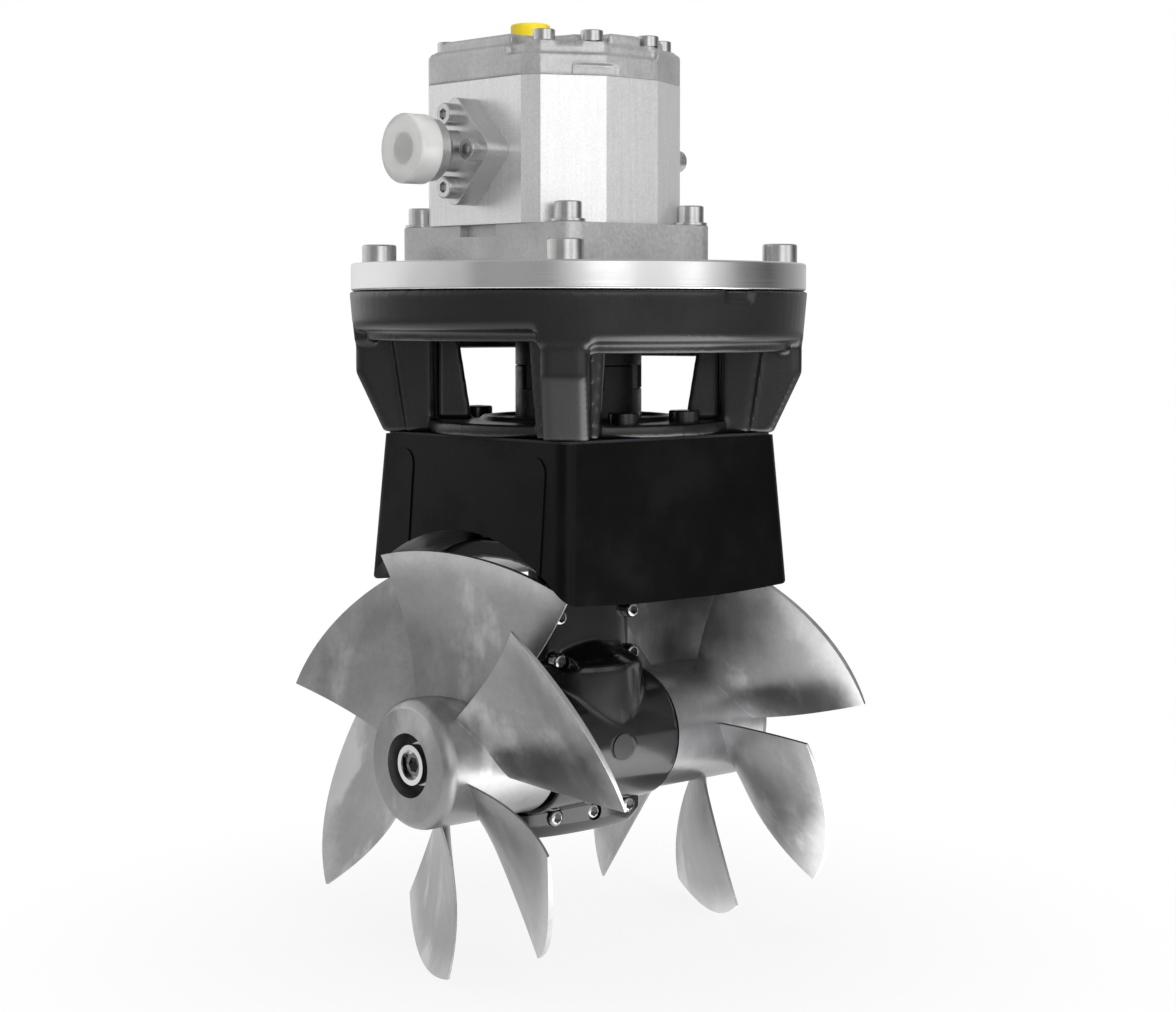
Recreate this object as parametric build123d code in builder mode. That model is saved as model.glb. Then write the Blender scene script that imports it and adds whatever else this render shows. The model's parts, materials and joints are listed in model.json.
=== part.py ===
from build123d import *
import math
import os

# Hydraulic tunnel thruster with twin propellers. Lengths are in millimetres, angles in degrees.
# The origin is the crossing of the propeller axis (along Y) and the vertical drive axis (Z).
# The front propeller lies towards -Y and the driven pump gear towards -X.

# Clearances
fit_gap = 0.05
running_gap = 0.3
screw_hole_gap = 0.25

# Tunnel that the thruster is clamped to
tunnel_inner_radius = 125.0
tunnel_wall = 6.0
tunnel_outer_radius = tunnel_inner_radius + tunnel_wall

# Propellers
blade_count = 6
blade_tip_radius = 120.8
hub_radius = 37.4
hub_face_radius = 32.0
hub_nose_length = 8.0
hub_nose_bulge = 2.0
hub_inner_face = 48.6
hub_outer_face = 129.4
hub_recess_radius = 18.4
hub_recess_depth = 9.0
hub_wall = 5.0
hub_core_radius = 22.0
blade_centre = 99.0
blade_root_thickness = 8.0
blade_tip_thickness = 3.2
blade_edge_thickness = 1.4
front_phase = 71.3
rear_turn = 5.15
# Blade sections at three heights above the axis: root, waist and past the tip
blade_heights = (28.0, 75.0, 124.0)
blade_half_spans = (16.2, 39.2, 58.2)
blade_half_widths = (15.2, 19.4, 30.6)
blade_shifts = (-1.2, 5.0, -3.2)
blade_sections = 6

# Propeller shaft and its bearings
prop_shaft_radius = 12.5
prop_shoulder_radius = 15.0
prop_bearing_radius = 21.0
prop_bearing_width = 10.0
prop_seal_radius = 17.5
prop_seal_width = 5.0
prop_nut_radius = 11.5
prop_nut_height = 7.0
nut_hollow_radius = 8.5
nut_hollow_depth = 5.5
nut_screw_radius = 6.5
nut_screw_height = 3.0
nut_key_size = 8.0
nut_stem_radius = 5.0
nut_stem_length = 24.0
drive_pin_radius = 3.0
drive_pin_reach = 17.0

# Gear case of the leg
case_radius = 40.5
case_half_length = 45.0
case_bore_radius = 34.0
carrier_depth = 15.0
tower_radius = 38.5
tower_shoulder = 49.0
tower_crown = 57.2
tower_top = 60.0
tower_edge_round = 5.0
tower_bore_radius = 24.0
neck_half_thickness = 12.0
neck_half_width = 36.0
leg_flange_half_length = 78.0
leg_flange_half_width = 64.0
leg_flange_corner = 24.0
leg_flange_thickness = 12.0
leg_flange_lift = 1.0
spigot_radius = 39.7
spigot_top = 152.0
shaft_tunnel_radius = 9.5
case_plug_radius = 8.0
case_plug_height = 0.8

keel_half_thickness = 4.0
keel_half_length = 38.0
keel_bottom = -49.0

# Skeg cover under the gear case
skeg_half_length = 48.0
skeg_half_width = 15.0
skeg_top = -35.0
skeg_bottom = -55.0
skeg_bilge = -47.0
skeg_chine = -52.3
skeg_foot_half_length = 41.0
skeg_foot_half_width = 8.0
skeg_edge = 3.0

# Bevel gears
gear_teeth = 20
pinion_teeth = 13
bevel_module = 2.8
bevel_face_width = 10.0
bevel_addendum = 0.85
bevel_dedendum = 1.15
bevel_root_sink = 0.8
bevel_backlash = 0.36
gear_side_gap = 1.6
gear_hub_radius = 18.0
pinion_hub_radius = 13.0

# Vertical drive shaft
drive_shaft_radius = 8.0
shaft_end_gap = 3.0
drive_bearing_radius = 17.5
drive_bearing_width = 12.0
lower_bearing_seat = 40.0
upper_bearing_seat = 132.0
drive_seal_width = 6.0

# Saddle between the tunnel and the motor bracket
saddle_top = 183.5
saddle_bottom = 93.0
saddle_top_half = 84.5
saddle_bottom_half = 90.0
saddle_top_bulge = 0.4
saddle_bottom_bulge = 2.5
saddle_corner = 9.0
saddle_bore_radius = 40.0
saddle_rib_offset = 59.5
saddle_rib_width = 20.0
saddle_rib_top = 176.0
saddle_rib_height = 0.8
gasket_thickness = 1.5
gasket_inset = 1.5

# Motor bracket
base_ring_radius = 90.0
base_ring_bore = 46.0
base_ring_thickness = 7.7
base_rim_radius = 58.0
base_rim_wall = 4.0
base_rim_height = 2.8
rim_top_radius = 136.0
rim_taper = 3.0
rim_wall = 13.0
rim_lip_wall = 7.0
rim_lip_round = 5.5
rim_skirt_drop = 5.7
rim_top = 268.5
bracket_deck = 7.0
deck_bore_radius = 52.0
lip_level_front = 245.6
lip_level_side = 239.0
lip_level_back = 233.7
leg_count = 4
leg_shoulder_level = 237.8
leg_shoulder_half_width = 15.0
leg_shoulder_round = 1.5
leg_nose_half_width = 13.2
leg_nose_round = 5.0
leg_nose_inset = 0.3
leg_foot_inset = 17.0
leg_crease = 220.5
leg_inner_radius = 84.0
leg_cheek_top_radius = 113.0
leg_cheek_foot_radius = 102.0
leg_cheek_top_half_width = 22.0
leg_cheek_foot_half_width = 17.5
leg_cheek_round = 4.0
web_half_thickness = 2.5
web_top_radius = 75.0
web_foot_radius = 64.0
web_sink = 1.0
rim_notch_width = 20.8
rim_notch_height = 7.0
rim_notch_depth = 3.0

# Round mounting plate
plate_inset = 0.8
plate_thickness = 16.3
plate_bore_radius = 46.0
plate_edge_chamfer = 1.0

# Coupling
coupling_radius = 37.7
coupling_bottom = 187.0
coupling_hub_height = 24.0
coupling_spider_height = 14.0
coupling_lobes = 3
coupling_lobe_angle = 24.0
coupling_core_radius = 15.0
coupling_spider_bore = 12.0
coupling_chamfer = 2.0

# Gear motor
gear_centre_distance = 44.0
motor_centre = -gear_centre_distance / 2
motor_flange_length = 157.4
motor_flange_width = 118.8
motor_flange_corner = 12.0
motor_flange_thickness = 22.5
flange_pocket_width = 33.0
flange_pocket_height = 6.8
flange_pocket_depth = 5.0
motor_spigot_depth = 8.0
body_pad_half_width = 61.5
body_pad_half_length = 42.0
body_cheek_half_width = 55.2
body_cheek_half_length = 51.8
body_end_half_width = 20.4
body_end_half_length = 69.2
body_height = 84.1
pump_teeth = 12
pump_module = gear_centre_distance / pump_teeth
pump_addendum = 0.82
pump_dedendum = 1.12
pump_backlash = 0.42
pump_gear_width = 44.0
pump_journal_radius = 11.0
pressure_angle = 20.0
shaft_seal_radius = 17.0
shaft_seal_width = 8.0
cover_thickness = 12.4
cover_step_height = 6.2
cover_step_inset = 3.5
cover_step_start = 29.0
cover_plateau_inset = 6.0
cover_plateau_height = 7.0
cover_spotface_radius = 10.5
cover_boss_radius = 8.5
cover_boss_height = 1.8
cover_recess_radius = 20.0
cover_corner_screw_length = 44.0
cover_corner_screw_width = 46.0
cover_end_screw_length = 58.5
cover_end_screw_width = 22.0
cover_edge_round = 2.5
cover_plateau_round = 2.5
cover_slot_width = 28.0
cover_slot_height = 6.6
cover_slot_depth = 3.4
cover_slot_shift = 6.0
cover_slot_turn = 70.0
drain_boss_radius = 15.0
drain_boss_height = 2.0
drain_plug_radius = 12.0
drain_plug_height = 11.5
drain_plug_chamfer = 1.0
drain_plug_stem_radius = 8.0
drain_plug_stem = 7.0

# Port fittings
port_flange_side = 48.0
port_flange_corner = 7.0
port_flange_thickness = 15.5
port_screw_radius = 21.0
port_bore_radius = 9.0
port_neck_radius = 12.0
port_neck_length = 10.0
port_cone_length = 6.0
port_end_radius = 18.0
port_end_length = 20.0
outlet_collar_length = 13.0
cap_wall = 1.9
cap_depth = 12.5
outlet_cap_depth = 11.0
cap_end_wall = 2.0
cap_round = 1.5

# Screws: head radius, head height, shank radius, socket width
m6_screw = (5.0, 6.0, 3.0, 5.0)
m8_screw = (6.5, 8.0, 4.0, 6.0)
m10_screw = (8.0, 10.0, 5.0, 8.0)
m14_screw = (10.3, 14.0, 7.0, 12.0)
low_head_screw = (9.0, 6.5, 5.0, 8.0)
washer_radius = 10.0
washer_thickness = 2.0
plate_screw_edge = 15.6
plate_spotface = 2.3
plate_screw_length = 34.0
motor_screw_inset = 11.0
motor_screw_length = 34.0
cover_screw_length = 30.0
port_screw_length = 30.0
leg_screw_half_length = 66.0
leg_screw_half_width = 24.0
leg_screw_length = 96.0
neck_screw_spread = 29.0
neck_screw_low = 51.0
neck_screw_high = 77.0
neck_screw_length = 8.0
skeg_screw_spread = 29.0
skeg_screw_level = -42.5
skeg_seat_wall = 4.0

# Radii and heights that follow from the sizes above
rim_bottom_radius = rim_top_radius - rim_taper
plate_radius = rim_top_radius - plate_inset
plate_screw_circle = plate_radius - plate_screw_edge
leg_outer_radius = rim_bottom_radius - leg_nose_inset
leg_foot_radius = rim_bottom_radius - leg_foot_inset
leg_step = 360 / leg_count
bracket_bottom = saddle_top + gasket_thickness
base_ring_top = bracket_bottom + base_ring_thickness
plate_bottom = rim_top
plate_top = plate_bottom + plate_thickness
flange_top = plate_top + motor_flange_thickness
body_top = flange_top + body_height
cover_ledge = body_top + cover_thickness
cover_step_top = cover_ledge + cover_step_height
cover_plateau_top = cover_step_top + cover_plateau_height
pump_gear_bottom = flange_top + (body_height - pump_gear_width) / 2
pump_gear_top = pump_gear_bottom + pump_gear_width
port_level = flange_top + body_height / 2
port_face = body_pad_half_width + port_flange_thickness
port_end_start = port_face + port_neck_length + port_cone_length
port_tip = port_end_start + port_end_length
carrier_inner_face = case_half_length - carrier_depth
drive_shaft_bottom = prop_shoulder_radius + shaft_end_gap


def pegs(plane, spots, radius, length):
    """Round pegs that stand on a plane: shanks, heads, and the holes that take them."""
    with BuildPart() as form:
        with BuildSketch(plane):
            with Locations(*spots):
                Circle(radius)
        extrude(amount=length)
    return form.part


def cap_screws(plane, spots, screw, length):
    """Socket head screws with their heads on a plane and their shanks below it."""
    head_radius, head_height, shank_radius, socket_width = screw
    with BuildPart() as form:
        add(pegs(plane, spots, head_radius, head_height))
        add(pegs(plane, spots, shank_radius, -length))
        with BuildSketch(plane.offset(head_height)):
            with Locations(*spots):
                RegularPolygon(socket_width / 2, 6, major_radius=False)
        extrude(amount=-head_height / 2, mode=Mode.SUBTRACT)
    return form


def ring_on_shaft(plane, outer_radius, inner_radius, width):
    """A plain bearing or seal ring that stands on a plane."""
    with BuildPart() as form:
        with BuildSketch(plane):
            Circle(outer_radius)
            Circle(inner_radius, mode=Mode.SUBTRACT)
        extrude(amount=width)
    return form


def flank_angle(radius, pitch_radius, teeth, thinning):
    """Half of a tooth's angular width at a radius, for an involute flank."""
    base_radius = pitch_radius * math.cos(math.radians(pressure_angle))
    pitch_involute = math.tan(math.radians(pressure_angle)) - math.radians(pressure_angle)
    lean = math.acos(min(1.0, base_radius / radius))
    involute = math.tan(lean) - lean
    return math.pi / (2 * teeth) - thinning / pitch_radius / 2 + pitch_involute - involute


def tooth_points(pitch_radius, teeth, addendum, dedendum, thinning):
    """Corners of one flank, from the root to the tip, as radius and half angle."""
    steps = (-dedendum, -addendum / 2, 0, addendum / 2, addendum)
    return [(pitch_radius + s, flank_angle(pitch_radius + s, pitch_radius, teeth, thinning)) for s in steps]


def pump_gear(plane, turn):
    """A spur gear wheel of the motor, standing on a plane."""
    pitch_radius = gear_centre_distance / 2
    flank = tooth_points(pitch_radius, pump_teeth, pump_addendum * pump_module,
                         pump_dedendum * pump_module, pump_backlash)
    right = [(r * math.cos(a), -r * math.sin(a)) for r, a in flank]
    left = [(r * math.cos(a), r * math.sin(a)) for r, a in reversed(flank)]
    root = pitch_radius - pump_dedendum * pump_module
    with BuildPart() as form:
        with BuildSketch(plane):
            Circle(root)
            with PolarLocations(0, pump_teeth, start_angle=turn):
                Polygon((root / 2, 0), *right, *left, align=None)
        extrude(amount=pump_gear_width)
    return form.part


def bevel_gear_form(pitch_radius, mate_radius, teeth, hub_radius, bore_radius, back):
    """A straight bevel gear with its apex at the origin and its teeth facing the apex, axis along Z."""
    cone = math.atan2(pitch_radius, mate_radius)
    cone_distance = math.hypot(pitch_radius, mate_radius)
    inner = (cone_distance - bevel_face_width) / cone_distance
    virtual_radius = pitch_radius / math.cos(cone)
    virtual_teeth = teeth / math.cos(cone)
    dedendum = bevel_dedendum * bevel_module
    flank = tooth_points(virtual_radius, virtual_teeth, bevel_addendum * bevel_module, dedendum, bevel_backlash)
    foot_radius, foot_angle = flank[0]
    flank = [(foot_radius - bevel_root_sink, foot_angle)] + flank
    right = [(r * math.cos(a) - virtual_radius, -r * math.sin(a)) for r, a in flank]
    left = [(r * math.cos(a) - virtual_radius, r * math.sin(a)) for r, a in reversed(flank)]
    with BuildPart() as tooth:
        for size in (1.0, inner):
            heel = Plane(origin=(pitch_radius * size, 0, mate_radius * size),
                         x_dir=(math.cos(cone), 0, -math.sin(cone)),
                         z_dir=(math.sin(cone), 0, math.cos(cone)))
            with BuildSketch(heel):
                Polygon(*[(x * size, y * size) for x, y in right + left], align=None)
        loft(ruled=True)
    root_radius = pitch_radius - dedendum * math.cos(cone)
    root_level = mate_radius + dedendum * math.sin(cone)
    with BuildPart() as form:
        with BuildSketch(Plane.XZ):
            Polygon((bore_radius, root_level * inner), (root_radius * inner, root_level * inner),
                    (root_radius, root_level), (hub_radius, root_level), (hub_radius, back),
                    (bore_radius, back), align=None)
        revolve(axis=Axis.Z)
        with PolarLocations(0, teeth):
            add(tooth.part)
        with BuildSketch():
            Circle(bore_radius)
        extrude(amount=back, mode=Mode.SUBTRACT)
    return form.part


def between(height, sizes):
    """A size at a height above the axis, on the curve through its root, waist and tip values."""
    low, middle, high = blade_heights
    root, waist, tip = sizes
    return (root * (height - middle) * (height - high) / (low - middle) / (low - high)
            + waist * (height - low) * (height - high) / (middle - low) / (middle - high)
            + tip * (height - low) * (height - middle) / (high - low) / (high - middle))


def blade_form():
    """One blade that rises along Z: twisted lens sections, trimmed to the tip circle."""
    low, high = blade_heights[0], blade_heights[-1]
    with BuildPart() as form:
        for step in range(blade_sections):
            share = step / (blade_sections - 1)
            height = low + (high - low) * share
            span = between(height, blade_half_spans)
            width = between(height, blade_half_widths)
            shift = between(height, blade_shifts)
            belly = blade_root_thickness + (blade_tip_thickness - blade_root_thickness) * share
            chord = math.hypot(span, width)
            side = Vector(-width / chord, span / chord)
            nose = Vector(-span, -width - blade_centre + shift)
            tail = Vector(span, width - blade_centre + shift)
            middle = (nose + tail) / 2
            edge = side * (blade_edge_thickness / 2)
            swell = side * (belly / 2)
            with BuildSketch(Plane.XY.offset(height)):
                with BuildLine():
                    ThreePointArc(nose + edge, middle + swell, tail + edge)
                    Line(tail + edge, tail - edge)
                    ThreePointArc(tail - edge, middle - swell, nose - edge)
                    Line(nose - edge, nose + edge)
                make_face()
        loft()
        with BuildSketch(Plane.XZ):
            Circle(blade_tip_radius)
        extrude(amount=2 * blade_centre, mode=Mode.INTERSECT)
    return form.part


def propeller_form():
    """A six-bladed propeller on the front end of the shaft, hub and blades in one casting."""
    blade = blade_form()
    with BuildPart() as form:
        with BuildSketch(Plane.YZ):
            with BuildLine():
                Polyline((-hub_inner_face, hub_radius), (-hub_outer_face + hub_nose_length, hub_radius))
                nose = Line((-hub_outer_face, hub_face_radius), (-hub_outer_face, hub_recess_radius))
                ThreePointArc((-hub_outer_face + hub_nose_length, hub_radius),
                              (-hub_outer_face + hub_nose_bulge, (hub_radius + hub_face_radius) / 2),
                              nose @ 0)
                Polyline(nose @ 1, (-hub_inner_face, hub_recess_radius), (-hub_inner_face, hub_core_radius),
                         (-hub_outer_face + 2 * hub_nose_length, hub_core_radius),
                         (-hub_outer_face + 2 * hub_nose_length, hub_radius - hub_wall),
                         (-hub_inner_face, hub_radius - hub_wall), (-hub_inner_face, hub_radius))
            make_face()
        revolve(axis=Axis.Y)
        for number in range(blade_count):
            add(blade.rotate(Axis.Y, front_phase + number * 360 / blade_count))
        with BuildSketch(Plane.XZ.offset(hub_inner_face)):
            Circle(hub_radius - hub_wall)
            Circle(hub_core_radius, mode=Mode.SUBTRACT)
        extrude(amount=hub_outer_face - 2 * hub_nose_length - hub_inner_face, mode=Mode.SUBTRACT)
    return form.part


def to_rear(shape):
    """The same piece on the rear end of the shaft."""
    return shape.rotate(Axis.Z, 180)


os.makedirs("parts", exist_ok=True)


def finish(piece, name):
    """Label a finished piece and write it to its own file."""
    piece.part.label = name
    export_step(piece.part, "parts/" + name + ".step")


# Planes at the two ends of the propeller shaft, and where the drive pins cross it
shaft_end = hub_outer_face - hub_recess_depth
front_end = Plane.XZ.offset(shaft_end)
rear_end = Plane(origin=(0, shaft_end, 0), x_dir=(-1, 0, 0), z_dir=(0, 1, 0))
pin_level = hub_inner_face + drive_pin_radius + running_gap
pin_plane = Plane.XY.offset(-drive_pin_reach)
pin_spots = [(0, -pin_level), (0, pin_level)]

# Front and rear propellers
front_form = propeller_form()
with BuildPart() as front_propeller:
    add(front_form)
finish(front_propeller, "front_propeller")

with BuildPart() as rear_propeller:
    add(to_rear(front_form).rotate(Axis.Y, rear_turn))
finish(rear_propeller, "rear_propeller")

# Propeller shaft with a raised middle that carries the bevel gear
with BuildPart() as propeller_shaft:
    with BuildSketch(Plane.XZ):
        Circle(prop_shaft_radius)
    extrude(amount=hub_outer_face - hub_recess_depth, both=True)
    with BuildSketch(Plane.XZ):
        Circle(prop_shoulder_radius)
    extrude(amount=carrier_inner_face - running_gap, both=True)
    for end in (front_end, rear_end):
        add(pegs(end, [(0, 0)], nut_stem_radius + fit_gap, -nut_stem_length - running_gap), mode=Mode.SUBTRACT)
    add(pegs(pin_plane, pin_spots, drive_pin_radius + fit_gap, 2 * drive_pin_reach), mode=Mode.SUBTRACT)
finish(propeller_shaft, "propeller_shaft")

# Rubber bushings that seat the propellers on the shaft
with BuildPart() as front_hub_bushing:
    with BuildSketch(Plane.XZ.offset(hub_inner_face)):
        Circle(hub_recess_radius - fit_gap)
        Circle(prop_shaft_radius + fit_gap, mode=Mode.SUBTRACT)
    extrude(amount=shaft_end - hub_inner_face)
    add(pegs(pin_plane, pin_spots, drive_pin_radius + fit_gap, 2 * drive_pin_reach), mode=Mode.SUBTRACT)
finish(front_hub_bushing, "front_hub_bushing")

with BuildPart() as rear_hub_bushing:
    add(to_rear(front_hub_bushing.part))
finish(rear_hub_bushing, "rear_hub_bushing")

# Cross pins that drive the bushings
with BuildPart() as drive_pins:
    add(pegs(pin_plane, pin_spots, drive_pin_radius, 2 * drive_pin_reach))
finish(drive_pins, "drive_pins")

# Propeller nuts: a ring on the shaft end with a socket screw sunk in it
with BuildPart() as front_propeller_nut:
    with BuildSketch(front_end):
        Circle(prop_nut_radius)
    extrude(amount=prop_nut_height)
    with BuildSketch(front_end.offset(prop_nut_height)):
        Circle(nut_hollow_radius)
    extrude(amount=-nut_hollow_depth, mode=Mode.SUBTRACT)
    with BuildSketch(front_end.offset(prop_nut_height - nut_hollow_depth)):
        Circle(nut_screw_radius)
        RegularPolygon(nut_key_size / 2, 6, major_radius=False, mode=Mode.SUBTRACT)
    extrude(amount=nut_screw_height)
    with BuildSketch(front_end):
        Circle(nut_stem_radius)
    extrude(amount=-nut_stem_length)
finish(front_propeller_nut, "front_propeller_nut")

with BuildPart() as rear_propeller_nut:
    add(to_rear(front_propeller_nut.part))
finish(rear_propeller_nut, "rear_propeller_nut")

# Bevel gear on the shaft and bevel pinion on the vertical shaft
gear_pitch_radius = gear_teeth * bevel_module / 2
pinion_pitch_radius = pinion_teeth * bevel_module / 2
gear_back = carrier_inner_face - gear_side_gap
gear_blank = bevel_gear_form(gear_pitch_radius, pinion_pitch_radius, gear_teeth, gear_hub_radius,
                             prop_shoulder_radius + fit_gap, gear_back)
with BuildPart() as bevel_gear:
    add(gear_blank.rotate(Axis.X, -90).rotate(Axis.Y, 180 / gear_teeth))
finish(bevel_gear, "bevel_gear")

with BuildPart() as bevel_pinion:
    add(bevel_gear_form(pinion_pitch_radius, gear_pitch_radius, pinion_teeth, pinion_hub_radius,
                        drive_shaft_radius + fit_gap, lower_bearing_seat - running_gap).rotate(Axis.Z, 90))
finish(bevel_pinion, "bevel_pinion")

# Bearing carriers that close the ends of the gear case, with their bearings and seals
front_carrier_plane = Plane.XZ.offset(carrier_inner_face)
with BuildPart() as front_bearing_carrier:
    with BuildSketch(front_carrier_plane):
        Circle(case_bore_radius - fit_gap)
        Circle(prop_bearing_radius + fit_gap, mode=Mode.SUBTRACT)
    extrude(amount=prop_bearing_width)
    with BuildSketch(front_carrier_plane.offset(prop_bearing_width)):
        Circle(case_bore_radius - fit_gap)
        Circle(prop_seal_radius + fit_gap, mode=Mode.SUBTRACT)
    extrude(amount=carrier_depth - prop_bearing_width)
finish(front_bearing_carrier, "front_bearing_carrier")

with BuildPart() as rear_bearing_carrier:
    add(to_rear(front_bearing_carrier.part))
finish(rear_bearing_carrier, "rear_bearing_carrier")

front_prop_bearing = ring_on_shaft(front_carrier_plane, prop_bearing_radius, prop_shaft_radius + fit_gap,
                                   prop_bearing_width)
finish(front_prop_bearing, "front_prop_bearing")

with BuildPart() as rear_prop_bearing:
    add(to_rear(front_prop_bearing.part))
finish(rear_prop_bearing, "rear_prop_bearing")

front_prop_seal = ring_on_shaft(front_carrier_plane.offset(prop_bearing_width), prop_seal_radius,
                                prop_shaft_radius + fit_gap, prop_seal_width)
finish(front_prop_seal, "front_prop_seal")

with BuildPart() as rear_prop_seal:
    add(to_rear(front_prop_seal.part))
finish(rear_prop_seal, "rear_prop_seal")

# Flange of the leg, shaped to the inside of the tunnel and flat at its low ends
with BuildPart() as leg_flange:
    with BuildSketch():
        RectangleRounded(2 * leg_flange_half_length, 2 * leg_flange_half_width, leg_flange_corner)
    extrude(amount=tunnel_inner_radius)
    with BuildSketch():
        Rectangle(2 * leg_flange_half_length, 2 * leg_flange_half_width)
    extrude(amount=saddle_bottom + leg_flange_lift, mode=Mode.SUBTRACT)
    with BuildSketch(Plane.XZ):
        Circle(tunnel_inner_radius)
        Circle(tunnel_inner_radius - leg_flange_thickness, mode=Mode.SUBTRACT)
    extrude(amount=leg_flange_half_width, both=True, mode=Mode.INTERSECT)

# Places of the screws on the two flat sides of the neck and of the keel
right_neck_face = Plane(origin=(neck_half_thickness, 0, 0), x_dir=(0, 1, 0), z_dir=(1, 0, 0))
left_neck_face = Plane(origin=(-neck_half_thickness, 0, 0), x_dir=(0, -1, 0), z_dir=(-1, 0, 0))
neck_spots = [(y, z) for y in (-neck_screw_spread, neck_screw_spread) for z in (neck_screw_low, neck_screw_high)]
skeg_seat = keel_half_thickness + running_gap + skeg_seat_wall
right_skeg_face = Plane(origin=(skeg_seat, 0, 0), x_dir=(0, 1, 0), z_dir=(1, 0, 0))
left_skeg_face = Plane(origin=(-skeg_seat, 0, 0), x_dir=(0, -1, 0), z_dir=(-1, 0, 0))
skeg_spots = [(y, skeg_screw_level) for y in (-skeg_screw_spread, 0, skeg_screw_spread)]
leg_screw_spots = [(x, y) for x in (-leg_screw_half_length, leg_screw_half_length)
                   for y in (-leg_screw_half_width, leg_screw_half_width)]
leg_screw_plane = Plane.XY.offset(base_ring_top)

# Leg: gear case, tower with a domed top, neck, flange and spigot in one casting
with BuildPart() as leg_housing:
    with BuildSketch(Plane.XZ):
        Circle(case_radius)
    extrude(amount=case_half_length, both=True)
    with BuildSketch(Plane.XZ):
        with BuildLine():
            Polyline((0, tower_top), (0, 0), (tower_radius, 0), (tower_radius, tower_shoulder))
            ThreePointArc((tower_radius, tower_shoulder), (tower_radius / 2, tower_crown), (0, tower_top))
        make_face()
    revolve(axis=Axis.Z)
    fillet(edges().filter_by(GeomType.CIRCLE).filter_by_position(Axis.Z, tower_shoulder - fit_gap,
                                                                 tower_shoulder + fit_gap),
           radius=tower_edge_round)
    with BuildSketch(Plane.XY.offset(tower_shoulder)):
        SlotOverall(2 * neck_half_width, 2 * neck_half_thickness, rotation=90)
    extrude(amount=tunnel_inner_radius - leg_flange_thickness / 2 - tower_shoulder)
    add(leg_flange.part)
    with BuildSketch(Plane.XY.offset(tunnel_inner_radius - leg_flange_thickness)):
        Circle(spigot_radius)
    extrude(amount=spigot_top - tunnel_inner_radius + leg_flange_thickness)
    with BuildSketch(Plane.XY.offset(keel_bottom)):
        SlotOverall(2 * keel_half_length, 2 * keel_half_thickness, rotation=90)
    extrude(amount=-keel_bottom)
    with BuildSketch(right_neck_face.offset(case_radius - neck_half_thickness)):
        Circle(case_plug_radius + case_plug_height)
    extrude(amount=-case_plug_height, mode=Mode.SUBTRACT)
    with BuildSketch(Plane.XZ):
        Circle(case_bore_radius)
    extrude(amount=case_half_length, both=True, mode=Mode.SUBTRACT)
    with BuildSketch():
        Circle(tower_bore_radius)
    extrude(amount=lower_bearing_seat, mode=Mode.SUBTRACT)
    with BuildSketch(Plane.XY.offset(lower_bearing_seat)):
        Circle(drive_bearing_radius + fit_gap)
    extrude(amount=drive_bearing_width, mode=Mode.SUBTRACT)
    with BuildSketch():
        Circle(shaft_tunnel_radius)
    extrude(amount=spigot_top, mode=Mode.SUBTRACT)
    with BuildSketch(Plane.XY.offset(upper_bearing_seat)):
        Circle(drive_bearing_radius + fit_gap)
    extrude(amount=spigot_top - upper_bearing_seat, mode=Mode.SUBTRACT)
    for face in (right_neck_face, left_neck_face):
        add(pegs(face, neck_spots, m6_screw[2] + fit_gap, -neck_screw_length - running_gap), mode=Mode.SUBTRACT)
        add(pegs(face, neck_spots, m6_screw[0] + screw_hole_gap, tower_radius), mode=Mode.SUBTRACT)
    for face in (right_skeg_face, left_skeg_face):
        add(pegs(face, skeg_spots, m6_screw[2] + fit_gap, -skeg_seat), mode=Mode.SUBTRACT)
        add(pegs(face, skeg_spots, m6_screw[0] + screw_hole_gap, skeg_half_width), mode=Mode.SUBTRACT)
    add(pegs(leg_screw_plane, leg_screw_spots, low_head_screw[2] + fit_gap, -leg_screw_length - running_gap),
        mode=Mode.SUBTRACT)
finish(leg_housing, "leg_housing")

# Flat plug on the side of the gear case
with BuildPart() as case_plug:
    add(pegs(right_neck_face.offset(case_radius - neck_half_thickness - case_plug_height), [(0, 0)],
             case_plug_radius, case_plug_height))
finish(case_plug, "case_plug")

# Screws on the sides of the neck
with BuildPart() as neck_screws:
    add(cap_screws(right_neck_face, neck_spots, m6_screw, neck_screw_length).part)
    add(cap_screws(left_neck_face, neck_spots, m6_screw, neck_screw_length).part)
finish(neck_screws, "neck_screws")

# Boat-shaped skeg cover clamped on the keel
with BuildPart() as skeg_cover:
    with BuildSketch(Plane.XY.offset(skeg_bilge)):
        Ellipse(skeg_half_width, skeg_half_length)
    extrude(amount=skeg_top - skeg_bilge)
    with BuildSketch(Plane.XY.offset(skeg_bilge)):
        Ellipse(skeg_half_width, skeg_half_length)
    with BuildSketch(Plane.XY.offset(skeg_chine)):
        Ellipse(skeg_foot_half_width + skeg_edge, skeg_foot_half_length + skeg_edge)
    with BuildSketch(Plane.XY.offset(skeg_bottom)):
        Ellipse(skeg_foot_half_width, skeg_foot_half_length)
    loft()
    with BuildSketch(Plane.XZ):
        Circle(case_radius + fit_gap)
    extrude(amount=skeg_half_length, both=True, mode=Mode.SUBTRACT)
    with BuildSketch(Plane.XY.offset(keel_bottom - fit_gap)):
        SlotOverall(2 * (keel_half_length + fit_gap), 2 * (keel_half_thickness + fit_gap), rotation=90)
    extrude(amount=-keel_bottom, mode=Mode.SUBTRACT)
    for face in (right_skeg_face, left_skeg_face):
        add(pegs(face, skeg_spots, m6_screw[0] + screw_hole_gap, skeg_half_width), mode=Mode.SUBTRACT)
        add(pegs(face, skeg_spots, m6_screw[2] + screw_hole_gap, -skeg_seat), mode=Mode.SUBTRACT)
finish(skeg_cover, "skeg_cover")

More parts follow.
